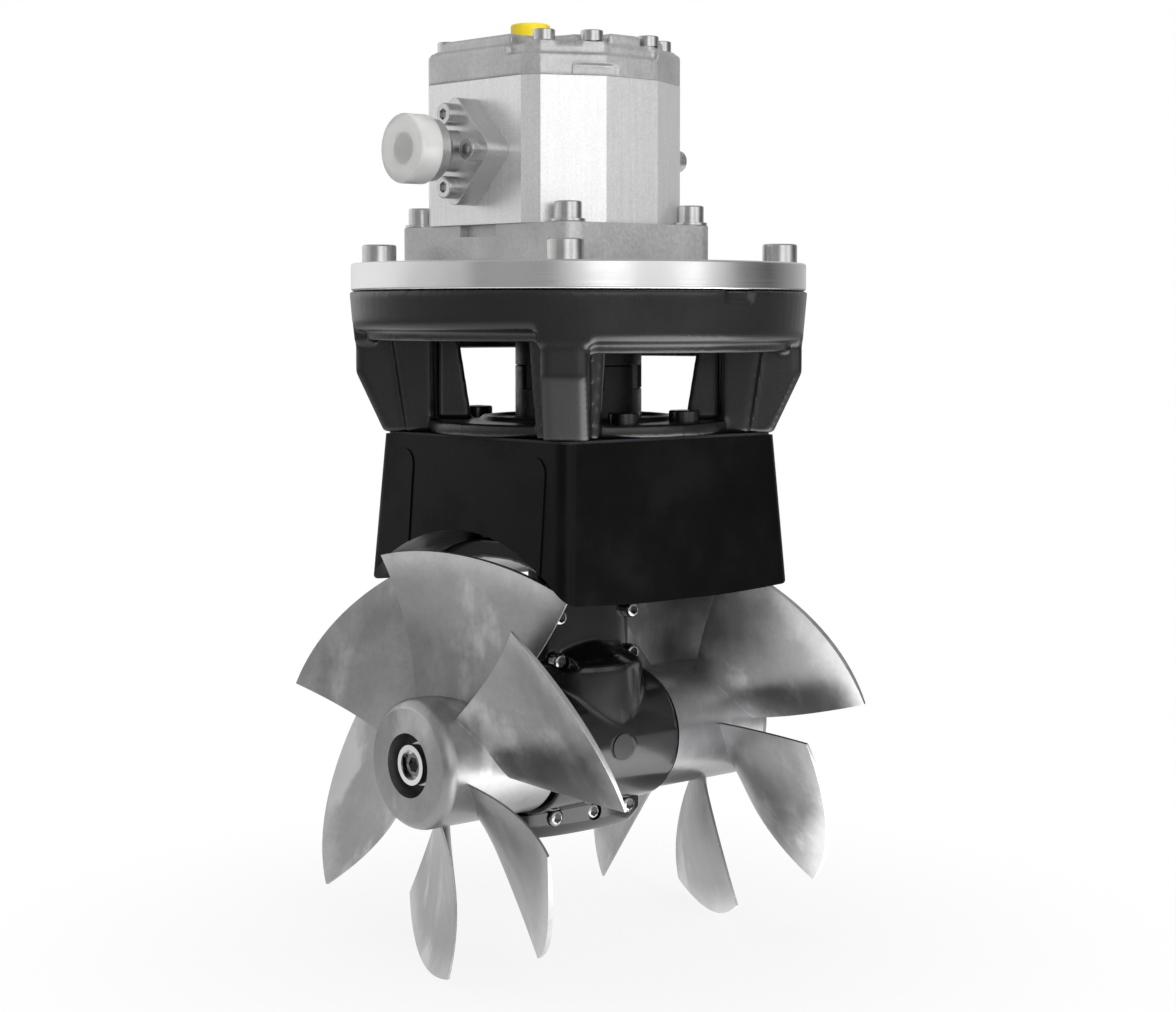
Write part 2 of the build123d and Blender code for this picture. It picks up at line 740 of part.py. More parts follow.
with BuildPart() as skeg_screws:
    add(cap_screws(right_skeg_face, skeg_spots, m6_screw, skeg_seat - running_gap).part)
    add(cap_screws(left_skeg_face, skeg_spots, m6_screw, skeg_seat - running_gap).part)
finish(skeg_screws, "skeg_screws")

# Vertical drive shaft with its bearings and seal
with BuildPart() as drive_shaft:
    with BuildSketch(Plane.XY.offset(drive_shaft_bottom)):
        Circle(drive_shaft_radius)
    extrude(amount=coupling_bottom + coupling_hub_height - drive_shaft_bottom)
finish(drive_shaft, "drive_shaft")

lower_drive_bearing = ring_on_shaft(Plane.XY.offset(lower_bearing_seat), drive_bearing_radius,
                                    drive_shaft_radius + fit_gap, drive_bearing_width)
finish(lower_drive_bearing, "lower_drive_bearing")

upper_drive_bearing = ring_on_shaft(Plane.XY.offset(upper_bearing_seat), drive_bearing_radius,
                                    drive_shaft_radius + fit_gap, drive_bearing_width)
finish(upper_drive_bearing, "upper_drive_bearing")

drive_seal = ring_on_shaft(Plane.XY.offset(upper_bearing_seat + drive_bearing_width), drive_bearing_radius,
                           drive_shaft_radius + fit_gap, drive_seal_width)
finish(drive_seal, "drive_seal")


def saddle_form(grow):
    """The tapered block of the saddle with slightly bulging sides, grown outwards by a small amount."""
    with BuildPart() as form:
        for level, half, swell in ((saddle_top, saddle_top_half, saddle_top_bulge),
                                   (saddle_bottom, saddle_bottom_half, saddle_bottom_bulge)):
            reach = half + grow
            bulge = reach + swell
            with BuildSketch(Plane.XY.offset(level)):
                with BuildLine():
                    ThreePointArc((-reach, -reach), (0, -bulge), (reach, -reach))
                    ThreePointArc((reach, -reach), (bulge, 0), (reach, reach))
                    ThreePointArc((reach, reach), (0, bulge), (-reach, reach))
                    ThreePointArc((-reach, reach), (-bulge, 0), (-reach, -reach))
                make_face()
                fillet(vertices(), radius=saddle_corner)
        loft()
    return form.part


# Slim ribs with rounded tops on the two arched faces of the saddle
with BuildPart() as saddle_ribs:
    with BuildSketch(Plane.XZ):
        with Locations((-saddle_rib_offset, saddle_rib_top - saddle_rib_width / 2),
                       (saddle_rib_offset, saddle_rib_top - saddle_rib_width / 2)):
            Circle(saddle_rib_width / 2)
        with Locations((-saddle_rib_offset, saddle_rib_top / 2), (saddle_rib_offset, saddle_rib_top / 2)):
            Rectangle(saddle_rib_width, saddle_rib_top - saddle_rib_width)
    extrude(amount=saddle_bottom_half + saddle_corner, both=True)
    add(saddle_form(saddle_rib_height), mode=Mode.INTERSECT)

# Saddle that sits on the outside of the tunnel
with BuildPart() as tunnel_saddle:
    add(saddle_form(0))
    add(saddle_ribs.part)
    with BuildSketch(Plane.XZ):
        Circle(tunnel_outer_radius)
    extrude(amount=saddle_bottom_half + saddle_corner, both=True, mode=Mode.SUBTRACT)
    with BuildSketch(Plane.XY.offset(saddle_bottom)):
        Circle(saddle_bore_radius)
    extrude(amount=saddle_top - saddle_bottom, mode=Mode.SUBTRACT)
    add(pegs(leg_screw_plane, leg_screw_spots, low_head_screw[2] + screw_hole_gap, -leg_screw_length), mode=Mode.SUBTRACT)
finish(tunnel_saddle, "tunnel_saddle")

# Flat gasket between the saddle and the bracket
with BuildPart() as saddle_gasket:
    with BuildSketch(Plane.XY.offset(saddle_top)):
        RectangleRounded(2 * (saddle_top_half - gasket_inset), 2 * (saddle_top_half - gasket_inset), saddle_corner)
        Circle(base_ring_bore, mode=Mode.SUBTRACT)
    extrude(amount=gasket_thickness)
    add(pegs(leg_screw_plane, leg_screw_spots, low_head_screw[2] + screw_hole_gap, -leg_screw_length), mode=Mode.SUBTRACT)
finish(saddle_gasket, "saddle_gasket")

# One bracket leg on the +X side: rounded nose that leans in at the foot, tapered cheeks and an inner web
with BuildPart() as bracket_leg:
    for level, reach in ((bracket_bottom, leg_foot_radius), (leg_crease, leg_outer_radius)):
        with BuildSketch(Plane.XY.offset(level)):
            with Locations(((leg_inner_radius + reach) / 2, 0)):
                RectangleRounded(reach - leg_inner_radius, 2 * leg_nose_half_width, leg_nose_round)
    loft()
    with BuildSketch(Plane.XY.offset(leg_crease)):
        with Locations(((leg_inner_radius + leg_outer_radius) / 2, 0)):
            RectangleRounded(leg_outer_radius - leg_inner_radius, 2 * leg_nose_half_width, leg_nose_round)
    extrude(amount=rim_top - bracket_deck - leg_crease)
    for level, reach, half_width in ((bracket_bottom, leg_cheek_foot_radius, leg_cheek_foot_half_width),
                                     (rim_top - bracket_deck, leg_cheek_top_radius, leg_cheek_top_half_width)):
        with BuildSketch(Plane.XY.offset(level)):
            with Locations(((leg_inner_radius + reach) / 2, 0)):
                RectangleRounded(reach - leg_inner_radius, 2 * half_width, leg_cheek_round)
    loft()
    with BuildSketch(Plane.XZ):
        with BuildLine():
            Polyline((leg_inner_radius + leg_cheek_round, base_ring_top - web_sink),
                     (web_foot_radius, base_ring_top - web_sink), (web_top_radius, rim_top - bracket_deck),
                     (leg_inner_radius + leg_cheek_round, rim_top - bracket_deck),
                     (leg_inner_radius + leg_cheek_round, base_ring_top - web_sink))
        make_face()
    extrude(amount=web_half_thickness, both=True)


def rim_reach(level):
    """Outer radius of the tapered rim at a height."""
    return rim_top_radius - rim_taper * (rim_top - level) / (rim_top - lip_level_back)


def rim_ring(level, lip_round):
    """The rim with its outer lip down to a level and a thinner skirt that hangs lower inside it."""
    inner = rim_bottom_radius - rim_wall
    skirt = rim_bottom_radius - rim_lip_wall
    with BuildPart() as form:
        with BuildSketch(Plane.XZ):
            with BuildLine():
                Polyline((inner, level - rim_skirt_drop), (skirt, level - rim_skirt_drop), (skirt, level),
                         (rim_reach(level), level), (rim_top_radius, rim_top), (inner, rim_top),
                         (inner, level - rim_skirt_drop))
            make_face()
            fillet(vertices().sort_by_distance((rim_reach(level), level))[0], radius=lip_round)
        revolve(axis=Axis.Z)
    return form.part


def rim_side(level, turn):
    """The quarter of the rim between two legs."""
    with BuildPart() as form:
        add(rim_ring(level, rim_lip_round))
        with BuildSketch(Plane.XY.offset(leg_crease).rotated((0, 0, turn))):
            Polygon((0, 0), (2 * rim_top_radius, -2 * rim_top_radius), (2 * rim_top_radius, 2 * rim_top_radius),
                    align=None)
        extrude(amount=rim_top - leg_crease, mode=Mode.INTERSECT)
    return form.part


# Shoulder of the rim above a leg
with BuildPart() as leg_shoulder:
    with BuildSketch(Plane.XY.offset(leg_shoulder_level)):
        with Locations((rim_top_radius, 0)):
            RectangleRounded(4 * rim_wall, 2 * leg_shoulder_half_width, leg_nose_round)
    extrude(amount=rim_top - leg_shoulder_level)
    add(rim_ring(leg_shoulder_level, leg_shoulder_round), mode=Mode.INTERSECT)

plate_screw_plane = Plane.XY.offset(plate_top - plate_spotface)
plate_screw_spots = [(plate_screw_circle * math.cos(math.radians((number + 1 / 2) * leg_step)),
                      plate_screw_circle * math.sin(math.radians((number + 1 / 2) * leg_step)))
                     for number in range(leg_count)]

# Motor bracket: rim, deck, four legs and base ring in one casting
with BuildPart() as motor_bracket:
    for number, level in enumerate((lip_level_side, lip_level_back, lip_level_side, lip_level_front)):
        add(rim_side(level, number * leg_step))
    with BuildSketch(Plane.XY.offset(rim_top - bracket_deck)):
        Circle(rim_bottom_radius - rim_lip_wall)
        Circle(deck_bore_radius, mode=Mode.SUBTRACT)
    extrude(amount=bracket_deck)
    with PolarLocations(0, leg_count, start_angle=leg_step / 2):
        add(bracket_leg.part)
        add(leg_shoulder.part)
    with BuildSketch(Plane.XY.offset(bracket_bottom)):
        Circle(base_ring_radius)
        Circle(base_ring_bore, mode=Mode.SUBTRACT)
    extrude(amount=base_ring_thickness)
    with BuildSketch(Plane.XY.offset(base_ring_top)):
        Circle(base_rim_radius)
        Circle(base_rim_radius - base_rim_wall, mode=Mode.SUBTRACT)
    extrude(amount=base_rim_height)
    with BuildSketch(Plane.XY.offset(rim_top)):
        with Locations((rim_top_radius, 0)):
            Rectangle(2 * rim_notch_depth, rim_notch_width)
    extrude(amount=-rim_notch_height, mode=Mode.SUBTRACT)
    add(pegs(leg_screw_plane, leg_screw_spots, low_head_screw[2] + screw_hole_gap, -leg_screw_length), mode=Mode.SUBTRACT)
    add(pegs(plate_screw_plane, plate_screw_spots, m14_screw[2] + fit_gap, -plate_screw_length - running_gap),
        mode=Mode.SUBTRACT)
finish(motor_bracket, "motor_bracket")

# Screws that clamp bracket, saddle and leg on the tunnel
leg_fixing_screws = cap_screws(leg_screw_plane, leg_screw_spots, low_head_screw, leg_screw_length)
finish(leg_fixing_screws, "leg_fixing_screws")

# Places of the motor screws and the two gear centres
motor_plane = Plane.XY.offset(flange_top)
motor_screw_spots = [(motor_centre + sx * (motor_flange_length / 2 - motor_screw_inset),
                      sy * (motor_flange_width / 2 - motor_screw_inset)) for sx in (-1, 1) for sy in (-1, 1)]
gear_spots = [(0, 0), (-gear_centre_distance, 0)]

# Turned mounting plate
with BuildPart() as mounting_plate:
    with BuildSketch(Plane.XY.offset(plate_bottom)):
        Circle(plate_radius)
        Circle(plate_bore_radius, mode=Mode.SUBTRACT)
    extrude(amount=plate_thickness)
    chamfer(edges().filter_by(GeomType.CIRCLE).sort_by(SortBy.RADIUS)[-2:], length=plate_edge_chamfer)
    add(pegs(plate_screw_plane, plate_screw_spots, m14_screw[0] + screw_hole_gap, plate_spotface),
        mode=Mode.SUBTRACT)
    add(pegs(plate_screw_plane, plate_screw_spots, m14_screw[2] + screw_hole_gap, -plate_thickness),
        mode=Mode.SUBTRACT)
    add(pegs(motor_plane, motor_screw_spots, m10_screw[2] + fit_gap, -motor_screw_length - running_gap),
        mode=Mode.SUBTRACT)
finish(mounting_plate, "mounting_plate")

plate_screws = cap_screws(plate_screw_plane, plate_screw_spots, m14_screw, plate_screw_length)
finish(plate_screws, "plate_screws")

# Flexible coupling: two hubs with interlocking jaws and a rubber spider between them
spider_bottom = coupling_bottom + coupling_hub_height
spider_top = spider_bottom + coupling_spider_height
jaw_step = 360 / coupling_lobes


def coupling_jaws(plane, turn, height, gap):
    """The jaws of one hub, or with a gap the slots that they leave in the spider."""
    spread = jaw_step / 2 - coupling_lobe_angle + 2 * gap
    with BuildPart() as form:
        with BuildSketch(plane) as sector:
            Circle(coupling_radius + gap)
            Circle(coupling_core_radius - gap, mode=Mode.SUBTRACT)
            with BuildSketch(plane, mode=Mode.INTERSECT):
                with PolarLocations(0, coupling_lobes, start_angle=turn):
                    Polygon((0, 0), (2 * coupling_radius, -2 * coupling_radius * math.tan(math.radians(spread / 2))),
                            (2 * coupling_radius, 2 * coupling_radius * math.tan(math.radians(spread / 2))),
                            align=None)
        extrude(amount=height)
    return form.part


with BuildPart() as coupling_lower_hub:
    with BuildSketch(Plane.XY.offset(coupling_bottom)):
        Circle(coupling_radius)
    extrude(amount=coupling_hub_height)
    chamfer(faces().sort_by(Axis.Z)[0].edges(), length=coupling_chamfer)
    with BuildSketch(Plane.XY.offset(coupling_bottom)):
        Circle(drive_shaft_radius + fit_gap)
    extrude(amount=coupling_hub_height, mode=Mode.SUBTRACT)
    add(coupling_jaws(Plane.XY.offset(spider_bottom), 0, coupling_spider_height - running_gap, 0))
finish(coupling_lower_hub, "coupling_lower_hub")

with BuildPart() as coupling_spider:
    with BuildSketch(Plane.XY.offset(spider_bottom)):
        Circle(coupling_radius - coupling_chamfer)
        Circle(coupling_spider_bore, mode=Mode.SUBTRACT)
    extrude(amount=coupling_spider_height)
    for turn in (0, jaw_step / 2):
        add(coupling_jaws(Plane.XY.offset(spider_bottom), turn, coupling_spider_height, fit_gap),
            mode=Mode.SUBTRACT)
finish(coupling_spider, "coupling_spider")

with BuildPart() as coupling_upper_hub:
    with BuildSketch(Plane.XY.offset(spider_top)):
        Circle(coupling_radius)
    extrude(amount=coupling_hub_height)
    chamfer(faces().sort_by(Axis.Z)[-1].edges(), length=coupling_chamfer)
    with BuildSketch(Plane.XY.offset(spider_top)):
        Circle(pump_journal_radius + fit_gap)
    extrude(amount=coupling_hub_height, mode=Mode.SUBTRACT)
    add(coupling_jaws(Plane.XY.offset(spider_top), jaw_step / 2, running_gap - coupling_spider_height, 0))
finish(coupling_upper_hub, "coupling_upper_hub")

# Front flange of the motor with its spigot in the plate
spigot_bottom = plate_top - motor_spigot_depth
with BuildPart() as motor_front_flange:
    with BuildSketch(Plane.XY.offset(plate_top)):
        with Locations((motor_centre, 0)):
            RectangleRounded(motor_flange_length, motor_flange_width, motor_flange_corner)
    extrude(amount=motor_flange_thickness)
    with BuildSketch(Plane.XY.offset(spigot_bottom)):
        Circle(plate_bore_radius - fit_gap)
    extrude(amount=motor_spigot_depth)
    with BuildSketch(Plane.XY.offset(spigot_bottom)):
        Circle(pump_journal_radius + fit_gap)
    extrude(amount=motor_spigot_depth + motor_flange_thickness, mode=Mode.SUBTRACT)
    with BuildSketch(Plane.XY.offset(spigot_bottom)):
        Circle(shaft_seal_radius + fit_gap)
    extrude(amount=shaft_seal_width, mode=Mode.SUBTRACT)
    with BuildSketch(motor_plane):
        with Locations((motor_centre, -motor_flange_width / 2), (motor_centre, motor_flange_width / 2)):
            Rectangle(flange_pocket_width, 2 * flange_pocket_depth)
    extrude(amount=-flange_pocket_height, mode=Mode.SUBTRACT)
    add(pegs(motor_plane, motor_screw_spots, m10_screw[2] + screw_hole_gap, -motor_flange_thickness),
        mode=Mode.SUBTRACT)
finish(motor_front_flange, "motor_front_flange")

# Motor fixing screws with washers
washer_plane = motor_plane.offset(washer_thickness)
with BuildPart() as motor_mount_screws:
    add(cap_screws(washer_plane, motor_screw_spots, m10_screw, motor_screw_length + washer_thickness).part)
    add(pegs(motor_plane, motor_screw_spots, washer_radius, washer_thickness))
finish(motor_mount_screws, "motor_mount_screws")

motor_shaft_seal = ring_on_shaft(Plane.XY.offset(spigot_bottom), shaft_seal_radius,
                                 pump_journal_radius + fit_gap, shaft_seal_width)
finish(motor_shaft_seal, "motor_shaft_seal")


def body_outline(plane):
    """Outline of the extruded motor body: port pads at the sides, faceted round ends."""
    with BuildSketch(plane) as outline:
        with Locations((motor_centre, 0)):
            Rectangle(2 * body_pad_half_length, 2 * body_pad_half_width)
            Rectangle(2 * body_cheek_half_length, 2 * body_cheek_half_width)
            Rectangle(2 * body_end_half_length, 2 * body_end_half_width)
        make_hull()
    return outline.sketch


def inset_outline(inset):
    """The outline of the motor body, moved inwards."""
    with BuildSketch() as outline:
        add(body_outline(Plane.XY))
        offset(amount=-inset, mode=Mode.REPLACE)
    return outline.sketch


pump_bore_radius = gear_centre_distance / 2 + pump_addendum * pump_module + 2 * fit_gap
front_port_face = Plane(origin=(motor_centre, -body_pad_half_width, port_level), x_dir=(1, 0, 0), z_dir=(0, -1, 0))
rear_port_face = Plane(origin=(motor_centre, body_pad_half_width, port_level), x_dir=(-1, 0, 0), z_dir=(0, 1, 0))
port_screw_spots = [(port_screw_radius, 0), (0, port_screw_radius), (-port_screw_radius, 0), (0, -port_screw_radius)]
cover_screw_spots = [(motor_centre + sx * x, sy * y) for sx in (-1, 1) for sy in (-1, 1)
                     for x, y in ((cover_corner_screw_length, cover_corner_screw_width),
                                  (cover_end_screw_length, cover_end_screw_width))]
cover_boss_plane = Plane.XY.offset(cover_step_top + cover_boss_height)

# Extruded motor body with the two gear bores and the port passages
with BuildPart() as motor_gear_body:
    add(body_outline(motor_plane))
    extrude(amount=body_height)
    with BuildSketch(motor_plane):
        with Locations(*gear_spots):
            Circle(pump_bore_radius)
    extrude(amount=body_height, mode=Mode.SUBTRACT)
    for face in (front_port_face, rear_port_face):
        add(pegs(face, [(0, 0)], port_bore_radius, -body_pad_half_width), mode=Mode.SUBTRACT)
        add(pegs(face, port_screw_spots, m8_screw[2] + fit_gap, port_flange_thickness - port_screw_length - running_gap),
            mode=Mode.SUBTRACT)
    add(pegs(cover_boss_plane, cover_screw_spots, m8_screw[2] + fit_gap, -cover_screw_length - running_gap),
        mode=Mode.SUBTRACT)
finish(motor_gear_body, "motor_gear_body")


def bearing_block(bottom):
    """A figure-eight block that carries the journals of both gears."""
    with BuildPart() as form:
        with BuildSketch(Plane.XY.offset(bottom)):
            with Locations(*gear_spots):
                Circle(pump_bore_radius - fit_gap)
            with Locations(*gear_spots):
                Circle(pump_journal_radius + fit_gap, mode=Mode.SUBTRACT)
        extrude(amount=(body_height - pump_gear_width) / 2 - running_gap)
    return form


front_bearing_block = bearing_block(flange_top)
finish(front_bearing_block, "front_bearing_block")
rear_bearing_block = bearing_block(pump_gear_top + running_gap)
finish(rear_bearing_block, "rear_bearing_block")

# The two gears of the motor; the drive gear is one piece with the motor shaft
gear_plane = Plane.XY.offset(pump_gear_bottom)
shaft_bottom = spider_top
with BuildPart() as motor_drive_gear:
    add(pump_gear(gear_plane, 0))
    with BuildSketch(Plane.XY.offset(shaft_bottom)):
        Circle(pump_journal_radius)
    extrude(amount=body_top - running_gap - shaft_bottom)
finish(motor_drive_gear, "motor_drive_gear")

with BuildPart() as motor_driven_gear:
    add(Pos(-gear_centre_distance, 0, 0) * pump_gear(gear_plane, 180 / pump_teeth))
    with BuildSketch(Plane.XY.offset(flange_top + running_gap)):
        with Locations((-gear_centre_distance, 0)):
            Circle(pump_journal_radius)
    extrude(amount=body_height - 2 * running_gap)
finish(motor_driven_gear, "motor_driven_gear")

# Cast rear cover: a ledge on two opposite corners, a plateau with screw pockets, and a slot in its edge
facet_angle = math.degrees(math.atan2(body_end_half_length - body_cheek_half_length,
                                      body_cheek_half_width - body_end_half_width))
recess_spot = (motor_centre + cover_corner_screw_length, -cover_corner_screw_width)
drain_spots = [(-gear_centre_distance, 0)]
with BuildPart() as motor_rear_cover:
    add(body_outline(Plane.XY.offset(body_top)))
    extrude(amount=cover_thickness)
    with BuildSketch(Plane.XY.offset(cover_ledge)):
        add(body_outline(Plane.XY))
        for side in (-1, 1):
            with Locations((motor_centre + side * (cover_step_start + body_end_half_length),
                            side * (body_end_half_width - body_end_half_length))):
                Rectangle(2 * body_end_half_length, 2 * body_end_half_length, mode=Mode.SUBTRACT)
        add(inset_outline(cover_step_inset))
    extrude(amount=cover_step_height)
    fillet(faces().sort_by(Axis.Z)[-1].edges(), radius=cover_edge_round)
    with BuildSketch(Plane.XY.offset(cover_step_top)):
        add(inset_outline(cover_plateau_inset))
        with Locations(*cover_screw_spots):
            Circle(cover_spotface_radius, mode=Mode.SUBTRACT)
        with Locations(recess_spot):
            Circle(cover_recess_radius, mode=Mode.SUBTRACT)
    extrude(amount=cover_plateau_height)
    fillet(faces().sort_by(Axis.Z)[-1].edges(), radius=cover_plateau_round)
    with BuildSketch(Plane.XY.offset(cover_step_top)):
        with Locations(*cover_screw_spots):
            Circle(cover_boss_radius)
        add(inset_outline(cover_step_inset), mode=Mode.INTERSECT)
    extrude(amount=cover_boss_height)
    add(pegs(Plane.XY.offset(cover_plateau_top), drain_spots, drain_boss_radius, drain_boss_height))
    add(pegs(Plane.XY.offset(cover_plateau_top + drain_boss_height), drain_spots, drain_plug_stem_radius + fit_gap,
             -drain_plug_stem - running_gap), mode=Mode.SUBTRACT)
    corner = Plane.XY.offset(body_top).rotated((0, 0, cover_slot_turn))
    corner.origin = Vector(motor_centre + body_end_half_length - cover_slot_shift * math.sin(math.radians(facet_angle)),
                           -body_end_half_width - cover_slot_shift * math.cos(math.radians(facet_angle)), body_top)
    with BuildSketch(corner):
        Rectangle(cover_slot_width, 2 * cover_slot_depth)
    extrude(amount=cover_slot_height, mode=Mode.SUBTRACT)
    add(pegs(cover_boss_plane, cover_screw_spots, m8_screw[2] + screw_hole_gap, -cover_screw_length),
        mode=Mode.SUBTRACT)
finish(motor_rear_cover, "motor_rear_cover")

rear_cover_screws = cap_screws(cover_boss_plane, cover_screw_spots, m8_screw, cover_screw_length)
finish(rear_cover_screws, "rear_cover_screws")

# Plastic plug on the drain port above the driven gear
with BuildPart() as drain_plug:
    drain_plane = Plane.XY.offset(cover_plateau_top + drain_boss_height)
    add(pegs(drain_plane, drain_spots, drain_plug_radius, drain_plug_height))
    chamfer(faces().sort_by(Axis.Z)[-1].edges(), length=drain_plug_chamfer)
    add(pegs(drain_plane, drain_spots, drain_plug_stem_radius, -drain_plug_stem))
finish(drain_plug, "drain_plug")


def port_flange(face, neck_length, bore_depth):
    """A square flange set on its corner, with a plain neck."""
    with BuildPart() as form:
        with BuildSketch(face):
            RectangleRounded(port_flange_side, port_flange_side, port_flange_corner, rotation=45)
        extrude(amount=port_flange_thickness)
        add(pegs(face.offset(port_flange_thickness), [(0, 0)], port_neck_radius, neck_length))
        add(pegs(face, [(0, 0)], port_bore_radius, bore_depth), mode=Mode.SUBTRACT)
        add(pegs(face, port_screw_spots, m8_screw[2] + screw_hole_gap, port_flange_thickness), mode=Mode.SUBTRACT)
    return form.part


def port_cap(end_plane, end_radius, depth):
    """A plastic cap pushed over the round end of a port fitting."""
    with BuildPart() as form:
        add(pegs(end_plane.offset(fit_gap + cap_end_wall), [(0, 0)], end_radius + fit_gap + cap_wall,
                 -depth - cap_end_wall))
        fillet(faces().sort_by_distance(end_plane.offset(tunnel_outer_radius).origin)[0].edges(), radius=cap_round)
        add(pegs(end_plane.offset(fit_gap), [(0, 0)], end_radius + fit_gap, -depth), mode=Mode.SUBTRACT)
    return form


# Inlet fitting: the neck widens to a hose end
with BuildPart() as inlet_port_flange:
    add(port_flange(front_port_face, port_neck_length, port_flange_thickness))
    with BuildSketch(front_port_face.offset(port_flange_thickness + port_neck_length)):
        Circle(port_neck_radius)
    with BuildSketch(front_port_face.offset(port_flange_thickness + port_neck_length + port_cone_length)):
        Circle(port_end_radius)
    loft()
    with BuildSketch(front_port_face.offset(port_flange_thickness + port_neck_length + port_cone_length)):
        Circle(port_end_radius)
    extrude(amount=port_end_length)
    add(pegs(front_port_face, [(0, 0)], port_bore_radius, port_tip - body_pad_half_width), mode=Mode.SUBTRACT)
finish(inlet_port_flange, "inlet_port_flange")

# Outlet fitting: a short plain collar
with BuildPart() as outlet_port_flange:
    add(port_flange(rear_port_face, outlet_collar_length, port_flange_thickness + outlet_collar_length))
finish(outlet_port_flange, "outlet_port_flange")

inlet_flange_screws = cap_screws(front_port_face.offset(port_flange_thickness), port_screw_spots, m8_screw,
                                 port_screw_length)
finish(inlet_flange_screws, "inlet_flange_screws")
outlet_flange_screws = cap_screws(rear_port_face.offset(port_flange_thickness), port_screw_spots, m8_screw,
                                  port_screw_length)
finish(outlet_flange_screws, "outlet_flange_screws")

# Plastic caps on the two open fittings
inlet_cap = port_cap(front_port_face.offset(port_tip - body_pad_half_width), port_end_radius, cap_depth)
finish(inlet_cap, "inlet_cap")
outlet_cap = port_cap(rear_port_face.offset(port_flange_thickness + outlet_collar_length), port_neck_radius,
                      outlet_cap_depth)
finish(outlet_cap, "outlet_cap")
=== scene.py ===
import json
import math

import bmesh
import bpy
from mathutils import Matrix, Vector

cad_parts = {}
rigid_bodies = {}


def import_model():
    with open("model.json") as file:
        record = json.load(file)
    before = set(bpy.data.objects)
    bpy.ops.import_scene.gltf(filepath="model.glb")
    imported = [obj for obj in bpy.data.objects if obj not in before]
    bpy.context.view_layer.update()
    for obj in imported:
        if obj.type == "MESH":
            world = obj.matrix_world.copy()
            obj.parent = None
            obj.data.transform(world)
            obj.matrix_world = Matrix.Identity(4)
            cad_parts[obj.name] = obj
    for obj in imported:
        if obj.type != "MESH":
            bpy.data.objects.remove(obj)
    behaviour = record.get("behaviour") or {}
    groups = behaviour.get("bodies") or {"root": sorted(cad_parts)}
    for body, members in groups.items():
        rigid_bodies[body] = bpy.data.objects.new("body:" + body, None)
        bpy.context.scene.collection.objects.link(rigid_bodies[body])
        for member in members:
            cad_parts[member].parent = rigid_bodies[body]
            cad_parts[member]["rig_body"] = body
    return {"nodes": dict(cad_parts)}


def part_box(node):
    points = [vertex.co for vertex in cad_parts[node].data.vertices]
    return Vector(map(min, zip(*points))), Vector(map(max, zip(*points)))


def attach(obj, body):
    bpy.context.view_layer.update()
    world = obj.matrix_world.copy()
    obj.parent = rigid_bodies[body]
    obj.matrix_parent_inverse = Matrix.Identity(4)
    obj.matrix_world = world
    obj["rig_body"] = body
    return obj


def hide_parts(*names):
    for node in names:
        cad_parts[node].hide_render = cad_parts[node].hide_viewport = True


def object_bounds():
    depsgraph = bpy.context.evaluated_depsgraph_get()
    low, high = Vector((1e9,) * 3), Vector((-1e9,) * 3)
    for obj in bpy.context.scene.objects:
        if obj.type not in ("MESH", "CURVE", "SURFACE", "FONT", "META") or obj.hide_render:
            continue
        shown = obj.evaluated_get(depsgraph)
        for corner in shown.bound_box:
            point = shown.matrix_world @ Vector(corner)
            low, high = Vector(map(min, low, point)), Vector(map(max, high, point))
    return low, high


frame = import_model()
nodes = frame["nodes"]
cad_box = [list(corner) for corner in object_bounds()]

# Camera. It stands to the front right of the thruster, level with the motor bracket, and looks slightly
# down. The turn and dip are in degrees, lengths in metres, and the lens and its sensor in millimetres.
camera_turn = 48.442
camera_dip = 3.048
camera_distance = 1.3689
camera_height = 0.2554
camera_data = bpy.data.cameras.new("camera")
camera_data.lens = 70.087
camera_data.sensor_width = 36.0
camera_data.shift_x = 0.00815
camera_data.shift_y = -0.06
camera_data.clip_start = 0.05
camera_data.clip_end = 20.0
camera = bpy.data.objects.new("camera", camera_data)
camera.location = (camera_distance * math.sin(math.radians(camera_turn)),
                   -camera_distance * math.cos(math.radians(camera_turn)), camera_height)
camera.rotation_euler = (math.radians(90 - camera_dip), 0, math.radians(camera_turn))
bpy.context.scene.collection.objects.link(camera)
bpy.context.scene.camera = camera
bpy.context.scene.view_settings.view_transform = "Standard"


# Studio air. The camera sees plain white all round. Metal and paint see a ring of soft boxes with darker
# gaps between them, as in a real studio, and dull surfaces get an even fill light.
class Socket:
    """A shader value that can be added, scaled and compared in plain expressions."""

    def __init__(self, tree, link):
        self.tree = tree
        self.link = link

    def combine(self, kind, other):
        node = self.tree.nodes.new("ShaderNodeMath")
        node.operation = kind
        for slot, value in zip(node.inputs, (self, other)):
            if isinstance(value, Socket):
                self.tree.links.new(value.link, slot)
            else:
                slot.default_value = value
        return Socket(self.tree, node.outputs[0])

    def __add__(self, other):
        return self.combine("ADD", other)

    def __sub__(self, other):
        return self.combine("SUBTRACT", other)

    def __mul__(self, other):
        return self.combine("MULTIPLY", other)

    def __truediv__(self, other):
        return self.combine("DIVIDE", other)

    def __pow__(self, other):
        return self.combine("POWER", other)

    def atan2(self, other):
        return self.combine("ARCTAN2", other)

    def most(self, other):
        return self.combine("MAXIMUM", other)


